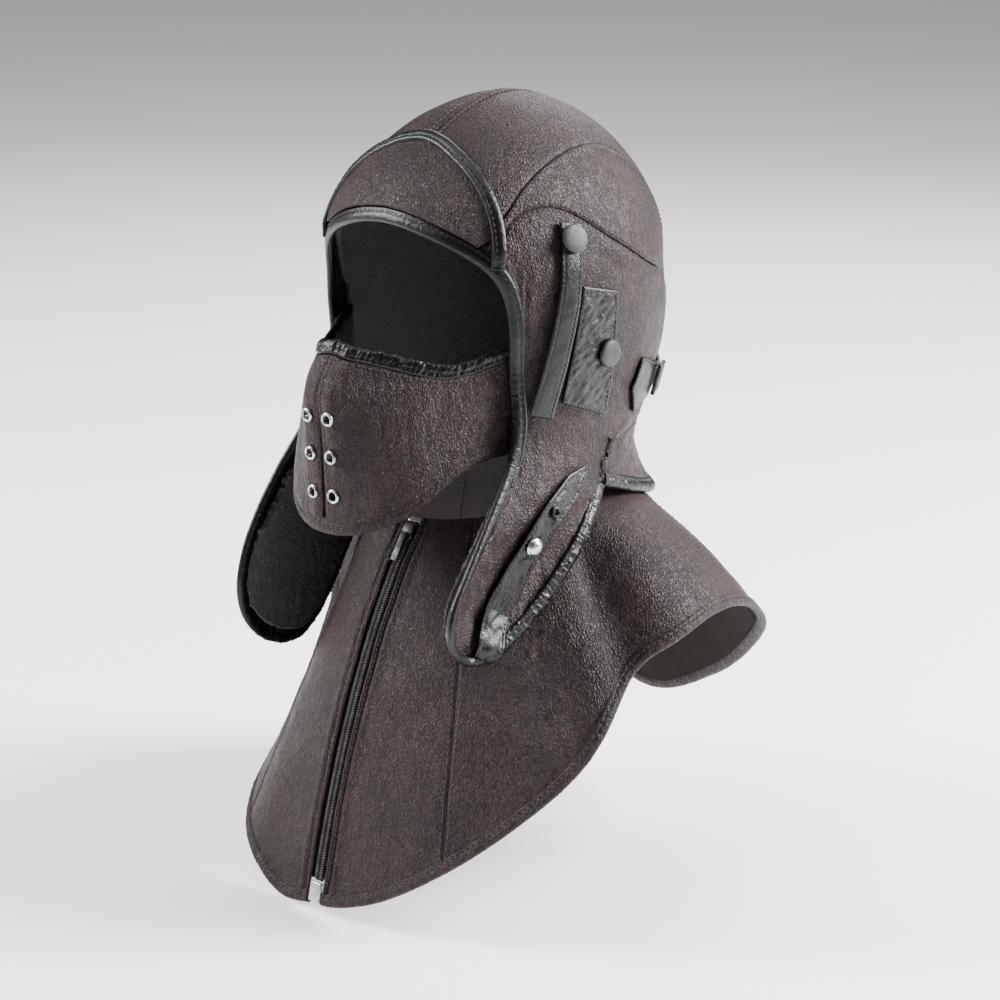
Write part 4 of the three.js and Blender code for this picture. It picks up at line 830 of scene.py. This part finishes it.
def sewn_panel(name, grid, guide, nodes, *, seams="", wall=LEATHER, swell=0.5, swell_size=28.0, pucker=0.35,
               dip=1.15, extra=0.0, lined=None, welts="", creases=()):
    """A leather panel with turned-down seams, puckers beside them and soft unevenness."""
    n = grid_normals(grid, np.asarray(guide, float))
    lift = swell * ripple(grid / swell_size) * 1.6 + 0.35 * swell * ripple(grid / (0.36 * swell_size) + 5)
    if seams:
        d = border_distance(grid, seams)
        lift = lift * ease(d / 8)
        lift = lift - dip * hump(d, 0, 1.25) - 0.28 * hump(d, 2.6, 0.55)
        if welts:
            w = border_distance(grid, welts)
            lift = lift + 0.6 * (1 - ease((w - 3.6) / 1.6)) * ease(w / 0.9) - 0.3 * hump(w, 4.7, 0.5)
        lift = lift + pucker * (puckers(grid, (5.5, 5.5, 5.5), 3) - 0.35) * hump(d, 4.5, 3.4)
    for where, size, depth in creases:
        lift = lift - depth * where(grid) * (1 - ease(puckers(grid, size, 17) / 0.55))
    points = grid + n * (lift + extra)[..., None]
    piece = laid(name, points, n, wall, nodes, BROWN, 1 if lined else 0)
    if lined:
        piece.data.materials.append(lined)
    return points, grid_normals(points, n)


def both_hands(make):
    for side, half, hand in (("left", near_half, lambda p: p), ("right", far_half, mirrored)):
        make(side, half, hand)


STITCHES = {"brown": [], "black": []}


def stitch(colour, line, normals, pitch=3.2, length=2.3, radius=0.4, lift=0.1):
    """Keeps a row of stitches along a line for sew_all."""
    line, normals = np.asarray(line), np.asarray(normals)
    run = run_of(line)
    at = np.arange(pitch, run[-1] - pitch / 2, pitch)
    here, n = along(run, line, at), unit(along(run, normals, at))
    tangent = unit(along(run, line, at + 0.5) - along(run, line, at - 0.5))
    STITCHES[colour].append((here + n * lift, tangent, n, length / 2, radius))


def stitch_beside(colour, panel, side, distance=2.6, trim=0, **kind):
    points, normals = panel
    line, facing = beside(points, side, distance), beside(points, side, distance, normals)
    keep = slice(trim, len(line) - trim)
    stitch(colour, line[keep], facing[keep], **kind)


def repeated(name, centres, axes):
    """One small capsule shape, set down at each centre (mm) with its own three axes (mm)."""
    shape = bmesh.new()
    bmesh.ops.create_uvsphere(shape, u_segments=6, v_segments=4, radius=1)
    pattern = bpy.data.meshes.new(f"{name}_shape")
    shape.to_mesh(pattern)
    shape.free()
    corners = np.array([v.co for v in pattern.vertices])
    bm = bmesh.new()
    for _ in centres:
        bm.from_mesh(pattern)
    piece = mesh_object(name, bm)
    place = to_metres(centres)[:, None] + np.einsum("kc,nca->nka", corners, axes * MM)
    piece.data.vertices.foreach_set("co", place.ravel())
    piece.data.update()
    bpy.data.meshes.remove(pattern)
    return piece


def sew_all():
    for colour, material, slot in (("brown", BROWN_THREAD, "brown_leather"),
                                   ("black", BLACK_THREAD, "black_leather")):
        rows = STITCHES[colour]
        centres = np.vstack([row[0] for row in rows])
        axes = np.vstack([np.stack([np.cross(n, t) * r, n * r, t * half], 1) for _, t, n, half, r in rows])
        dress(repeated(f"{colour}_stitches", centres, axes), [], material)


ROUND = np.linspace(0, 2 * math.pi, 31)
GROOVE, ROLL_OVER = 0.78, 1.2


def bound_edge(name, line, inward, normal, nodes, *, width, thick, lift, gather, material=BLACK,
               stitches="black", size=(2.6, 7.0)):
    """A padded roll of leather along an edge, gathered across its length. gather has one value a station."""
    run = run_of(line)
    c, s = np.cos(ROUND), np.sin(ROUND)
    full = width + ROLL_OVER
    across = full * (0.5 - 0.5 * np.sign(c) * np.abs(c) ** 0.8)
    rise = 0.5 * thick * np.sign(s) * np.abs(s) ** 0.85
    fold = np.stack(np.broadcast_arrays(run[:, None] / size[0] + 0.22 * across[None] / size[0], across[None] / size[1],
                                        np.where(s[None] < -0.05, 7.0, 0.0)), -1)
    broad = np.stack(np.broadcast_arrays(run[:, None] / (3.1 * size[0]), across[None] / size[1], 0 * s[None]), -1)
    lobes = np.abs(ripple(fold)) * 2.4 - 0.6 + 0.5 * ripple(broad + 9)
    skin = np.clip(np.abs(s), 0, 1)[None]
    swell = gather[:, None] * lobes
    seam = -0.8 * hump(across, GROOVE * width, 0.7) * (s > 0)
    height = rise[None] + np.sign(s)[None] * swell * skin + seam[None]
    out = across[None] - swell * np.clip(c, 0, 1)[None] * 0.8
    points = line[:, None] + inward[:, None] * out[..., None] + normal[:, None] * (height + lift)[..., None]
    bm = grid_bmesh(points, normal)
    weld(bm)
    bmesh.ops.holes_fill(bm, edges=[e for e in bm.edges if e.is_boundary], sides=0)
    bmesh.ops.recalc_face_normals(bm, faces=bm.faces)
    dress(mesh_object(name, bm), nodes, material)
    if stitches:
        top = np.argmin(np.abs(across - GROOVE * width) + 50 * (s <= 0))
        stitch(stitches, points[:, top], normal, pitch=3.6, length=2.5)
    return points


def even_stations(line_at, low, high, step):
    """Stations between two others, evenly spaced along the line."""
    k = np.linspace(low, high, 1600)
    run = run_of(line_at(k))
    return np.interp(np.arange(0, run[-1] + step / 2, run[-1] / round(run[-1] / step)), run, k)


def turned(name, profile, steps, p, n, nodes, material, slot=None):
    """A lathe-turned part standing on a point, from radius and height pairs."""
    bm = bmesh.new()
    verts = [bm.verts.new((r * MM, 0, h * MM)) for r, h in profile]
    edges = [bm.edges.new(pair) for pair in zip(verts, verts[1:])]
    bmesh.ops.spin(bm, geom=verts + edges, cent=(0, 0, 0), axis=(0, 0, 1), angle=2 * math.pi, steps=steps,
                   use_merge=True)
    weld(bm)
    bmesh.ops.recalc_face_normals(bm, faces=bm.faces)
    stand = Vector(n).to_track_quat("Z", "Y").to_matrix().to_4x4()
    bmesh.ops.transform(bm, matrix=Matrix.Translation(Vector(to_metres(p))) @ stand, verts=bm.verts)
    dress(mesh_object(name, bm), nodes, material)


def refined(name, node, material, width, segments=3):
    """A metal part of the solids with its doubled corners merged and its edges rounded."""
    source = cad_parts[node]
    bm = bmesh.new()
    bm.from_mesh(source.data)
    bmesh.ops.transform(bm, matrix=source.matrix_world, verts=bm.verts)
    weld(bm)
    bmesh.ops.dissolve_limit(bm, angle_limit=math.radians(4), verts=bm.verts, edges=bm.edges)
    sharp = [e for e in bm.edges if e.is_manifold and e.calc_face_angle() > math.radians(25)]
    bmesh.ops.bevel(bm, geom=sharp, offset=width * MM, segments=segments, profile=0.5, affect="EDGES", material=-1)
    dress(mesh_object(name, bm), [node], material)


# ---------------------------------------------------------------- hood
def make_hood_panels(side, half, hand):
    down = close_lines(290, 3.2)
    crown = strip_grid(half, CROWN_STRIP, close_lines(50, 2.6), down)
    upper = strip_grid(half, UPPER_STRIP, close_lines(26, 2.6, SHORT_RIM), down)
    ear = ear_grid(half, close_lines(170, 1.9), close_lines(190, 1.9))
    sign = 1 if side == "left" else -1
    beside_face = lambda p: 1 - ease((p[..., 1] + 62) / 34)
    at_nape = lambda p: ease((p[..., 1] - 20) / 30) * ease((-150 - p[..., 2]) / 25)
    on_flap = lambda p: ease((-185 - p[..., 2]) / 30)
    panels = {}
    rows = (
        ("crown", crown, "lrtf", "l", 0.35, ()),
        ("upper_side", upper, "lrtf", "l", 0.35, ()),
        ("ear_panel", ear, "tr", "", 0.9, ((beside_face, (5, 5, 26), 0.7), (at_nape, (26, 26, 4.5), 0.7),
                                          (on_flap, (9, 9, 13), 0.5))))
    for name, grid, seams, welts, swell, creases in rows:
        grid = hand(grid)
        facing = hood_normal(seat(grid)) if name != "ear_panel" else np.array([sign, 0, 0])
        panels[name] = sewn_panel(f"{name}_{side}_leather", grid, facing, [f"{name}_{side}"], seams=seams,
                                  swell=swell, swell_size=24, welts=welts, creases=creases)
    for name, border, distance, trim in (("crown", "r", 2.6, 4), ("crown", "l", 4.7, 4), ("upper_side", "l", 4.7, 4),
                                         ("upper_side", "r", 2.6, 4), ("ear_panel", "t", 2.6, 6)):
        stitch_beside("brown", panels[name], border, distance=distance, trim=trim)


def make_nape():
    grid = nape_grid(close_lines(250, 2.2), close_lines(30, 1.6, SHORT_RIM))
    panel = sewn_panel("nape_leather", grid, hood_normal(seat(grid)), ["nape_panel"], seams="lrt", swell=1.0,
                       swell_size=9, pucker=0.25)
    stitch_beside("brown", panel, "t", trim=5)


def make_face_binding():
    left = even_stations(near_half.line, 0, 13, 0.8)
    right = even_stations(far_half.line, 0, 13, 0.8)
    joined = lambda near, far: np.vstack([near[::-1], mirrored(far)[1:]])
    line = joined(near_half.line(left), far_half.line(right))
    normal, inward = (joined(near, far) for near, far in zip(near_half.frame(left), far_half.frame(right)))
    gather = 0.15 + 0.3 * ease((np.abs(np.linspace(-1, 1, len(line))) - 0.55) / 0.4)
    bound_edge("face_edge", line, inward, normal, ["face_binding"], width=EDGE_WIDTH, thick=EDGE_THICK, lift=-1,
               gather=gather)


def make_flap_binding(side, half, hand):
    k = even_stations(half.line, 13, 40, 0.8)
    normal, inward = half.frame(k)
    gather = 0.3 + 0.75 * ease((k - 22) / 5) + 0.25 * hump(k, 33, 4)
    bound_edge(f"flap_edge_{side}", hand(half.line(k)), hand(inward), hand(normal), [f"flap_binding_{side}"],
               width=EDGE_WIDTH, thick=EDGE_THICK, lift=-1, gather=gather)


def make_nape_binding():
    m = even_stations(nape_edge_at, 0, 20, 0.8)
    normal, inward = nape_frame(m)
    bound_edge("nape_edge", nape_edge_at(m), inward, normal, ["nape_binding"], width=EDGE_WIDTH, thick=EDGE_THICK,
               lift=-1, gather=np.full(len(m), 0.6))


# ---------------------------------------------------------------- fleece
FACE_CUT = [(-200, -50), (-87, -50), (-80, -62), (-70, -74), (-60, -88), (-54, -102), (-45, -116), (-45, -160),
            (-37, -172), (-37, -215), (-200, -215)]
PILE_OUT, PILE_IN = 3.9, 7.0


def in_face_cut(p):
    y, z = p[..., 1], p[..., 2]
    inside = np.zeros(y.shape, bool)
    for (y0, z0), (y1, z1) in zip(FACE_CUT, FACE_CUT[1:] + FACE_CUT[:1]):
        crosses = (z0 > z) != (z1 > z)
        inside ^= crosses & (y < (y1 - y0) * (z - z0) / ((z1 - z0) or 1) + y0)
    return inside


def curls(p, size=6.0):
    return np.abs(ripple(p / size)) * 2.2 + 0.7 * np.abs(ripple(p / (0.45 * size) + 4)) * 2


def make_lining():
    bearing = np.linspace(0, 2 * math.pi, 181)
    fall = np.concatenate([np.linspace(3, 90, 52), np.linspace(-96, -204, 44)])
    out = np.stack([np.sin(bearing), -np.cos(bearing), 0 * bearing], -1)
    rows = []
    for f in fall:
        if f > 0:
            a = math.radians(f)
            rows.append(seat(out * math.sin(a) * 90 + np.array([0, 0, WIDEST + math.cos(a) * 92])))
        else:
            rows.append(seat(out * 80 + np.array([0, 0, f])))
    skin = np.array(rows)
    n = hood_normal(skin)
    inner = skin - n * (PILE_IN + 0.2 - 0.9 * curls(skin))[..., None]
    bm = grid_bmesh(inner, (0, 0, 1))
    weld(bm)
    pole = min(bm.verts, key=lambda v: -v.co.z)
    crown = [e for e in bm.edges if e.is_boundary and e.verts[0].co.z > pole.co.z - 0.004]
    bmesh.ops.holes_fill(bm, edges=crown, sides=0)
    gone = [face for face in bm.faces
            if in_face_cut(np.array(face.calc_center_median()) / MM - np.array([0, 0, CROWN_WALL]))]
    bmesh.ops.delete(bm, geom=gone, context="FACES")
    rim = [v for v in bm.verts if v.is_boundary]
    for _ in range(4):
        bmesh.ops.smooth_vert(bm, verts=rim, factor=0.5, use_axis_x=True, use_axis_y=True, use_axis_z=True)
    bm.normal_update()
    middle = Vector((0, 0, -0.09))
    if sum(face.normal.dot(middle - face.calc_center_median()) for face in bm.faces) < 0:
        bmesh.ops.reverse_faces(bm, faces=bm.faces)
    piece = mesh_object("fleece_cap", bm)
    with_wall(piece, PILE_IN - PILE_OUT)
    dress(piece, ["fleece_lining"], FLEECE)


def make_flap_fleece(side, half, hand):
    grid = ear_grid(half, np.linspace(0.012, 0.988, 72), np.linspace(9 / 14, 0.99, 52))
    back = -grid_normals(grid, ACROSS)
    inner = hand(grid + back * (LEATHER + 2.6 + 0.9 * curls(grid))[..., None])
    piece = laid(f"flap_pile_{side}", inner, hand(-ACROSS), 2.3, [f"flap_fleece_{side}"], FLEECE)


# ---------------------------------------------------------------- visor
visor_line = Line(seat([mirrored(VISOR_ARCH[1])] + VISOR_ARCH + [(69.8, -66.8, -89)]))
VISOR_CENTRE = visor_line.share_near(np.array(VISOR_ARCH[0], float), 2000)


def arch_at(a):
    """The visor's bound arch, from 1 at the left end over the brow to -1 at the right end."""
    return handed(visor_line.at(mix(VISOR_CENTRE, 1, np.abs(a))), np.asarray(a) < 0)


def arch_frame(a):
    tangent = unit(arch_at(np.maximum(a - 0.01, -1)) - arch_at(np.minimum(a + 0.01, 1)))
    return squared(hood_normal(arch_at(a)), tangent)


def make_visor():
    s = np.linspace(0, 1, 84)
    a = mix(0.8, -0.8, s)
    top = arch_at(a) + arch_frame(a)[1] * (VISOR_EDGE + SEAM_GAP)
    k = np.linspace(0, 4, 41)
    edge = near_half.inset(k, EDGE_WIDTH + SEAM_GAP)
    foot = Line(np.vstack([edge[::-2], mirrored(edge[2::2])])).at(s)
    t = np.linspace(0, 1, 34)
    side = lambda i: mix(top[i], foot[i], t[:, None])
    grid = seat(fill(top, foot, side(0), side(-1), s, t))
    n = hood_normal(grid)
    grid = grid + n * 0.5
    sewn_panel("visor_leather", grid, n, ["brow_visor"], wall=1.7, swell=0.8, swell_size=20, extra=2.7)
    a = np.linspace(0.965, -0.955, 320)
    normal, inward = arch_frame(a)
    tuck = 1.8 * ease((np.abs(a) - 0.86) / 0.1)
    bound_edge("visor_edge", arch_at(a) - normal * tuck[:, None], inward, normal, ["visor_binding"],
               width=VISOR_EDGE, thick=VISOR_EDGE_THICK, lift=3.1, gather=np.full(len(a), 0.25))


# ---------------------------------------------------------------- mask
def eyelet_place(x, z):
    fullness = look_up(MASK_PROFILE, z)[1]
    turn = math.asin((abs(x) / MASK_HALF) ** (fullness / 2)) * (1 if x > 0 else -1)
    p = mask_skin(turn, z)
    down = unit(mask_skin(turn, z - 3) - mask_skin(turn, z + 3))
    aside = unit(mask_skin(turn + 0.03, z) - mask_skin(turn - 0.03, z))
    n = unit(np.cross(aside, down))
    return p, n if n[1] < 0 else -n


def mask_half(side, sign):
    u = np.concatenate([[0.012, 0.03, 0.055], np.linspace(0.08, MASK_TURN, 150)])
    t = np.linspace(0, 1, 120)
    edges = mask_edge(u)
    band = MASK_EDGE + SEAM_GAP
    z = mix((edges[:, 0] - band)[None], (edges[:, 1] + band)[None], t[:, None])
    grid = mask_skin(u[None] * sign, z)
    n = grid_normals(grid, from_hub(grid))
    d = border_distance(grid, "l")
    crease = (1.3 * ripple(grid / np.array([13, 13, 40]) + 2) + 0.45 * ripple(grid / np.array([5, 5, 16]) + 8)
              - 0.5 * np.abs(ripple(grid / np.array([26, 26, 7]) + 21)))
    lift = crease * ease(d / 10) - 1.0 * hump(d, 0, 1.1) - 0.3 * hump(d, 2.8, 0.5)
    points = grid + n * lift[..., None]
    bm = grid_bmesh(points, n)
    holes = [Vector(to_metres(eyelet_place(EYELET_SIDE * sign, level)[0])) for level in EYELET_LEVELS]
    gone = [face for face in bm.faces
            if min((face.calc_center_median() - hole).length for hole in holes) < 3.1 * MM]
    bmesh.ops.delete(bm, geom=gone, context="FACES")
    piece = with_wall(mesh_object(f"mask_leather_{side}", bm), MASK_THICK)
    dress(piece, [f"mask_{side}"], BROWN)
    stitch_beside("brown", (points, n), "l", distance=2.8, trim=3)
    if sign > 0:
        stitch_beside("brown", (points, n), "t", distance=1.6)
    return points


def make_mask():
    for side, sign in (("left", 1), ("right", -1)):
        mask_half(side, sign)
    turns = even_stations(lambda u: mask_point(u, mask_edge(u)[..., 0]), -MASK_TURN, MASK_TURN, 0.7)
    for name, column, way, node, material in (("mask_top_edge", 0, -1, "mask_top_binding", BLACK),
                                              ("mask_foot_edge", 1, 1, "mask_foot_binding", BROWN)):
        level = mask_edge(turns)[:, column]
        line = mask_skin(turns, level)
        inner = mask_skin(turns, level + way * MASK_EDGE)
        inward = unit(inner - line)
        tangent = unit(np.gradient(line, axis=0))
        normal = like(unit(np.cross(tangent, inward)), from_hub(line))
        top = column == 0
        bound_edge(name, line, inward, normal, [node], width=MASK_EDGE, thick=MASK_EDGE_THICK if top else 3.4,
                   lift=-MASK_THICK / 2, gather=np.full(len(line), 1.15 if top else 0.4), material=material,
                   stitches="black" if top else "brown", size=(2.1, 9.0))
    ring = [(2.6, 0.7), (2.75, 1.1), (3.1, 1.3), (3.6, 1.15), (4.0, 0.75), (4.15, 0.3), (4.1, 0.05)]
    barrel = [(3.8, -0.1), (3.0, -0.2), (3.0, -3.2), (3.4, -3.6), (3.0, -3.9), (2.6, -3.4), (2.6, 0.7)]
    places = [(x, level) for level in EYELET_LEVELS for x in (EYELET_SIDE, -EYELET_SIDE)]
    for number, place in enumerate(places, 1):
        turned(f"eyelet_ring_{number}", ring + barrel, 32, *eyelet_place(*place), [f"eyelet_{number}"], STEEL)


# ---------------------------------------------------------------- straps, patches and snaps
STRAP_THICK, STRAP_LIFT, STRAP_SEAM = 2.0, 0.8, 1.9
GOGGLE_LINE = [(80, -26, -63), (82, -32, -100), (80, -39, -135), (77, -47, -168)]
EAR_PATCH = [(88, -24, -97), (91, 2, -103), (86, -2, -174), (83, -35, -162)]
GOGGLE_SNAP, PATCH_SNAP = (84, -28, -71), (90, -6, -137)
SNAP_LIFT = STRAP_LIFT + STRAP_THICK + 0.4
TAB_SHAPE = [(103.5, 1.2), (107.5, 15), (110, 17), (117, 12), (124, 9.5)]
BACK_LEVEL = -163.0


def strap_piece(name, grid, normal, nodes, *, rise=STRAP_LIFT + STRAP_THICK, swell=0.25, rows="lr", crease=0.0,
                stand=0.0):
    """A flat leather part: outer skin with rounded rims and stitched grooves, over its wall."""
    d = border_distance(grid, "lrtf")
    lift = swell * ripple(grid / 9.0) * ease(d / 3) * 1.6
    slant = np.stack([grid[..., 0], grid[..., 1] + 0.8 * grid[..., 2], grid[..., 2] - 0.8 * grid[..., 1]], -1)
    folds = 1 - ease(puckers(slant, (30, 17, 5.5), 12) / 0.6)
    lift = lift - crease * (folds - 0.25) * ease(d / 3.5) - 0.4 * crease * puckers(grid, (4, 4, 4), 31) * ease(d / 3)
    lift = lift - 0.6 * hump(d, 0, 0.7) - 0.3 * hump(d, STRAP_SEAM, 0.5)
    points = grid + normal * (rise + stand + lift)[..., None]
    laid(name, points, normal, STRAP_THICK, nodes, BLACK)
    for side in rows:
        stitch_beside("black", (points, normal), side, distance=STRAP_SEAM, trim=2, pitch=2.9, length=2.0)
    return points


def around(bearing, z):
    b = np.radians(bearing)
    return seat(np.stack(np.broadcast_arrays(np.sin(b) * 80, -np.cos(b) * 80, z), -1))


def make_side_straps(side, half, hand):
    u = close_lines(115, 1.6)
    line = seat(Line(GOGGLE_LINE).at(u))
    n = hood_normal(line)
    across = unit(np.cross(n, unit(np.gradient(line, axis=0))))
    d = close_lines(14, 1.4, FINE_RIM) - 0.5
    grid = seat(line[:, None] + across[:, None] * (14 * d)[None, :, None])
    n = hood_normal(grid)
    strap_piece(f"goggle_strap_{side}_leather", hand(grid), hand(n), [f"goggle_strap_{side}"], crease=0.2,
                stand=2.2 * ease((u[:, None] - 0.16) / 0.25))
    a, b, c, e = (seat(row) for row in EAR_PATCH)
    s, t = close_lines(34, 1.2, FINE_RIM), close_lines(76, 1.2, FINE_RIM)
    run = lambda p, q, w: mix(p, q, w[:, None])
    grid = seat(fill(run(a, b, s), run(e, c, s), run(a, e, t), run(b, c, t), s, t))
    n = hood_normal(grid)
    strap_piece(f"ear_patch_{side}_leather", hand(grid), hand(n), [f"ear_patch_{side}"], swell=0.5, crease=0.8,
                rows="lrtf")
    cap = [(0, 0), (7.2, 0), (8.0, 0.5), (8.0, 1.5), (7.6, 2.2), (6.8, 2.65), (4.5, 3.0), (0, 3.2)]
    for label, place in (("goggle_snap", GOGGLE_SNAP), ("patch_snap", PATCH_SNAP)):
        p = seat(place)
        n = hood_normal(p)
        turned(f"{label}_cap_{side}", cap, 40, hand(p + n * SNAP_LIFT), hand(n), [f"{label}_{side}"], CAP)


def make_back_adjuster():
    u = close_lines(28, 1.2, FINE_RIM)
    bearing = mix(TAB_SHAPE[0][0], TAB_SHAPE[-1][0], u)
    half = np.interp(bearing, [row[0] for row in TAB_SHAPE], [row[1] for row in TAB_SHAPE])
    v = 1 - 2 * close_lines(26, 1.3, FINE_RIM)
    grid = around(bearing[:, None], BACK_LEVEL + v[None] * half[:, None])
    n = hood_normal(grid)
    for side, hand in (("left", lambda p: p), ("right", mirrored)):
        strap_piece(f"back_tab_{side}_leather", hand(grid), hand(n), [f"back_tab_{side}"], rows="lr")
    u = close_lines(150, 1.8)
    v = 1 - 2 * close_lines(14, 1.4, FINE_RIM)
    grid = around(mix(124.6, 235.4, u)[:, None], BACK_LEVEL + 7 * v[None])
    strap_piece("back_strap_leather", grid, hood_normal(grid), ["back_strap"])
    refined("buckle_frame", "buckle", GUNMETAL, 0.8)


CHIN_PATH = [(-99, -281, 17), (-91, -270, 18), (-83.5, -259.5, 18), (-75, -249, 17), (-66, -237, 16),
             (-50.5, -222, 15), (-31, -209, 14), (-19, -203, 4)]


def make_chin_strap():
    skin = ear_grid(near_half, np.linspace(0, 1, 121), np.linspace(0.25, 1, 160))
    n = grid_normals(skin, ACROSS)
    rows = []
    for y, z, width in CHIN_PATH:
        miss = np.hypot(skin[..., 1] - y, skin[..., 2] - z)
        k = np.unravel_index(np.argmin(miss), miss.shape)
        rows.append((skin[k], n[k], width))
    out = unit(rows[0][0] - rows[1][0])
    wrap = [(rows[0][0] + out * far + rows[0][1] * high, unit(rows[0][1] * up + out * (1 - up)), wide)
            for far, high, up, wide in ((11.6, -3.8, 0.3, 12), (10.6, -0.5, 0.6, 15), (6.5, 0.8, 0.95, 18))]
    bare = rows
    rows = wrap + rows
    centre = Line([p for p, _, _ in rows])
    u = close_lines(centre.length[-1], 1.3, FINE_RIM)
    line = centre.at(u)
    key = np.array([centre.share_near(p) for p, _, _ in rows])
    facing = unit(along(key, np.array([n for _, n, _ in rows]), u))
    width = np.interp(u, key, [wide for _, _, wide in rows])
    across = unit(np.cross(facing, unit(np.gradient(line, axis=0))))
    d = close_lines(16, 1.3, FINE_RIM) - 0.5
    grid = line[:, None] + across[:, None] * (width[:, None] * d[None])[..., None]
    normal = np.broadcast_to(facing[:, None], grid.shape)
    strap_piece("chin_strap_leather", grid, normal, ["chin_strap"], rise=4.1, crease=0.9, swell=0.3)

    def on_strap(share, lift):
        k = int(share)
        w = share - k
        p = bare[k][0] * (1 - w) + bare[k + 1][0] * w
        facing = unit(bare[k][1] * (1 - w) + bare[k + 1][1] * w)
        return p + facing * lift, facing

    dome = [(0, 0), (5.2, 0), (5.6, 0.4), (5.2, 0.9), (4.6, 1.3), (4.2, 2.3), (3.3, 3.1), (1.8, 3.6), (0, 3.8)]
    ring = [(1.6, 0), (3.2, 0), (3.6, 0.3), (3.3, 0.8), (2.5, 1.1), (1.8, 0.8), (1.6, 0.3), (1.6, 0)]
    p, facing = on_strap(4, 4.4)
    turned("chin_snap_dome", dome, 36, p, facing, ["chin_snap"], STEEL, "gunmetal")
    p, facing = on_strap(5.05, 4.2)
    turned("chin_strap_eyelet", ring, 28, p, facing, ["chin_eyelet"], GUNMETAL)


# ---------------------------------------------------------------- cape and zip
# name, first and last bearing, and the cut: width and length of its blank, and its area, in metres
CAPE_PANELS = [("cape_front_left", 0, 33, (0.092, 0.229, 0.0135)), ("cape_side_left", 33, 128, (0.326, 0.199, 0.0264)),
               ("cape_back", 128, 232, (0.322, 0.190, 0.0352)), ("cape_side_right", 232, 327, (0.335, 0.212, 0.0227)),
               ("cape_front_right", 327, 360, (0.088, 0.233, 0.0138))]


def make_cape():
    for name, start, end, cut in CAPE_PANELS:
        arc = 2.7 * (end - start)
        s = close_lines(arc, 2.4)
        t = close_lines(210, 2.6)
        bearing = mix(start, end, s)
        turn, fall, _, _ = hem_step(bearing, HEM_WIDTH - 2.5)
        v = t[:, None] * (1 + fall)[None]
        away = zip_bearing(v, ZIP_LEATHER)
        grid_bearing = bearing[None] + turn[None] * t[:, None] ** 2 * ((bearing > 0) & (bearing < 360))[None]
        if start == 0:
            grid_bearing = grid_bearing + away * (1 - s[None]) ** 3
        if end == 360:
            grid_bearing = grid_bearing - away * s[None] ** 3
        grid = cape_point(grid_bearing, v)
        guide = cape_normal(grid_bearing, v)
        beside_zip = {"cape_front_left": "l", "cape_front_right": "r"}.get(name)
        d = border_distance(grid, beside_zip) if beside_zip else np.full(grid.shape[:2], 99.0)
        welt = 1.3 * hump(d, 1.6, 1.3) + 1.2 * hump(d, 6.6, 2.0) - 1.3 * hump(d, 3.9, 0.9)
        seams = "lr".replace(beside_zip or "-", "")
        panel = sewn_panel(f"{name}_leather", grid, guide, [name], seams=seams, wall=CAPE_THICK, swell=0.9,
                           swell_size=30, dip=0.7, extra=welt, lined=FLESH)
        for side in "lr":
            stitch_beside("brown", panel, side, distance=2.6 if side in seams else 3.6, trim=6)
    end = float(zip_bearing(1.0, ZIP_LEATHER))
    b = even_stations(lambda k: cape_point(k, 1.0), end, 360 - end, 0.9)
    _, _, inward, normal = hem_step(b, HEM_WIDTH)
    bound_edge("cape_hem_edge", cape_point(b, 1.0), inward, normal, ["cape_hem"], width=HEM_WIDTH, thick=HEM_THICK,
               lift=-CAPE_THICK / 2, gather=np.full(len(b), 0.36), material=BROWN, stitches="brown",
               size=(3.4, 9.0))


ZIP_ENDS = (0.075, 0.953)
ZIP_CLOTH = 0.8


def zip_facing(v):
    return unit(cape_normal(0.0, v) * np.array([0, 1, 1]))


def make_zip():
    v = np.linspace(0.02, 0.95, 120)
    for side, sign in (("left", 1), ("right", -1)):
        x = np.linspace(0.5, TAPE_OUT, 14)
        bearing = zip_bearing(v[:, None], x[None] * sign)
        n = cape_normal(bearing, v[:, None])
        cloth = cape_point(bearing, v[:, None]) - n * 2.9
        laid(f"tape_{side}", cloth, n, ZIP_CLOTH, [f"zip_tape_{side}"], TAPE)
    run = run_of(cape_point(0.0, v))
    start, stop = np.interp(ZIP_ENDS, v, run)
    centres, axes = [], []
    for sign in (1, -1):
        at = np.interp(np.arange(start + (0.75 if sign > 0 else 0), stop, 1.5), run, v)
        n = zip_facing(at)
        across = unit(ACROSS + 0.35 * sign * np.cross(n, ACROSS))
        centres.append(cape_point(0.0, at) + 1.75 * sign * ACROSS - n * 0.6)
        axes.append(np.stack([across * 1.9, n * 0.95, np.cross(across, n) * 0.5], 1))
    dress(repeated("zip_teeth", np.vstack(centres), np.vstack(axes)), ["zip_chain"], TEETH)
    v = np.linspace(*ZIP_ENDS, 90)
    n = zip_facing(v)
    core = cape_point(0.0, v)[:, None] + ACROSS * np.linspace(-3.1, 3.1, 5)[None, :, None] - n[:, None] * 1.1
    laid("zip_bed", core, n, ZIP_CLOTH, ["zip_chain"], TAPE)
    refined("zip_box_end", "zip_box", NICKEL, 0.5, 2)
    refined("zip_slider_body", "zip_slider", GUNMETAL, 0.7)
    refined("zip_pull_tab", "zip_pull", GUNMETAL, 0.45)


make_camera()
make_studio()
both_hands(make_hood_panels)
make_nape()
make_face_binding()
both_hands(make_flap_binding)
make_nape_binding()
make_lining()
both_hands(make_flap_fleece)
make_visor()
make_mask()
both_hands(make_side_straps)
make_back_adjuster()
make_chin_strap()
make_cape()
make_zip()
sew_all()
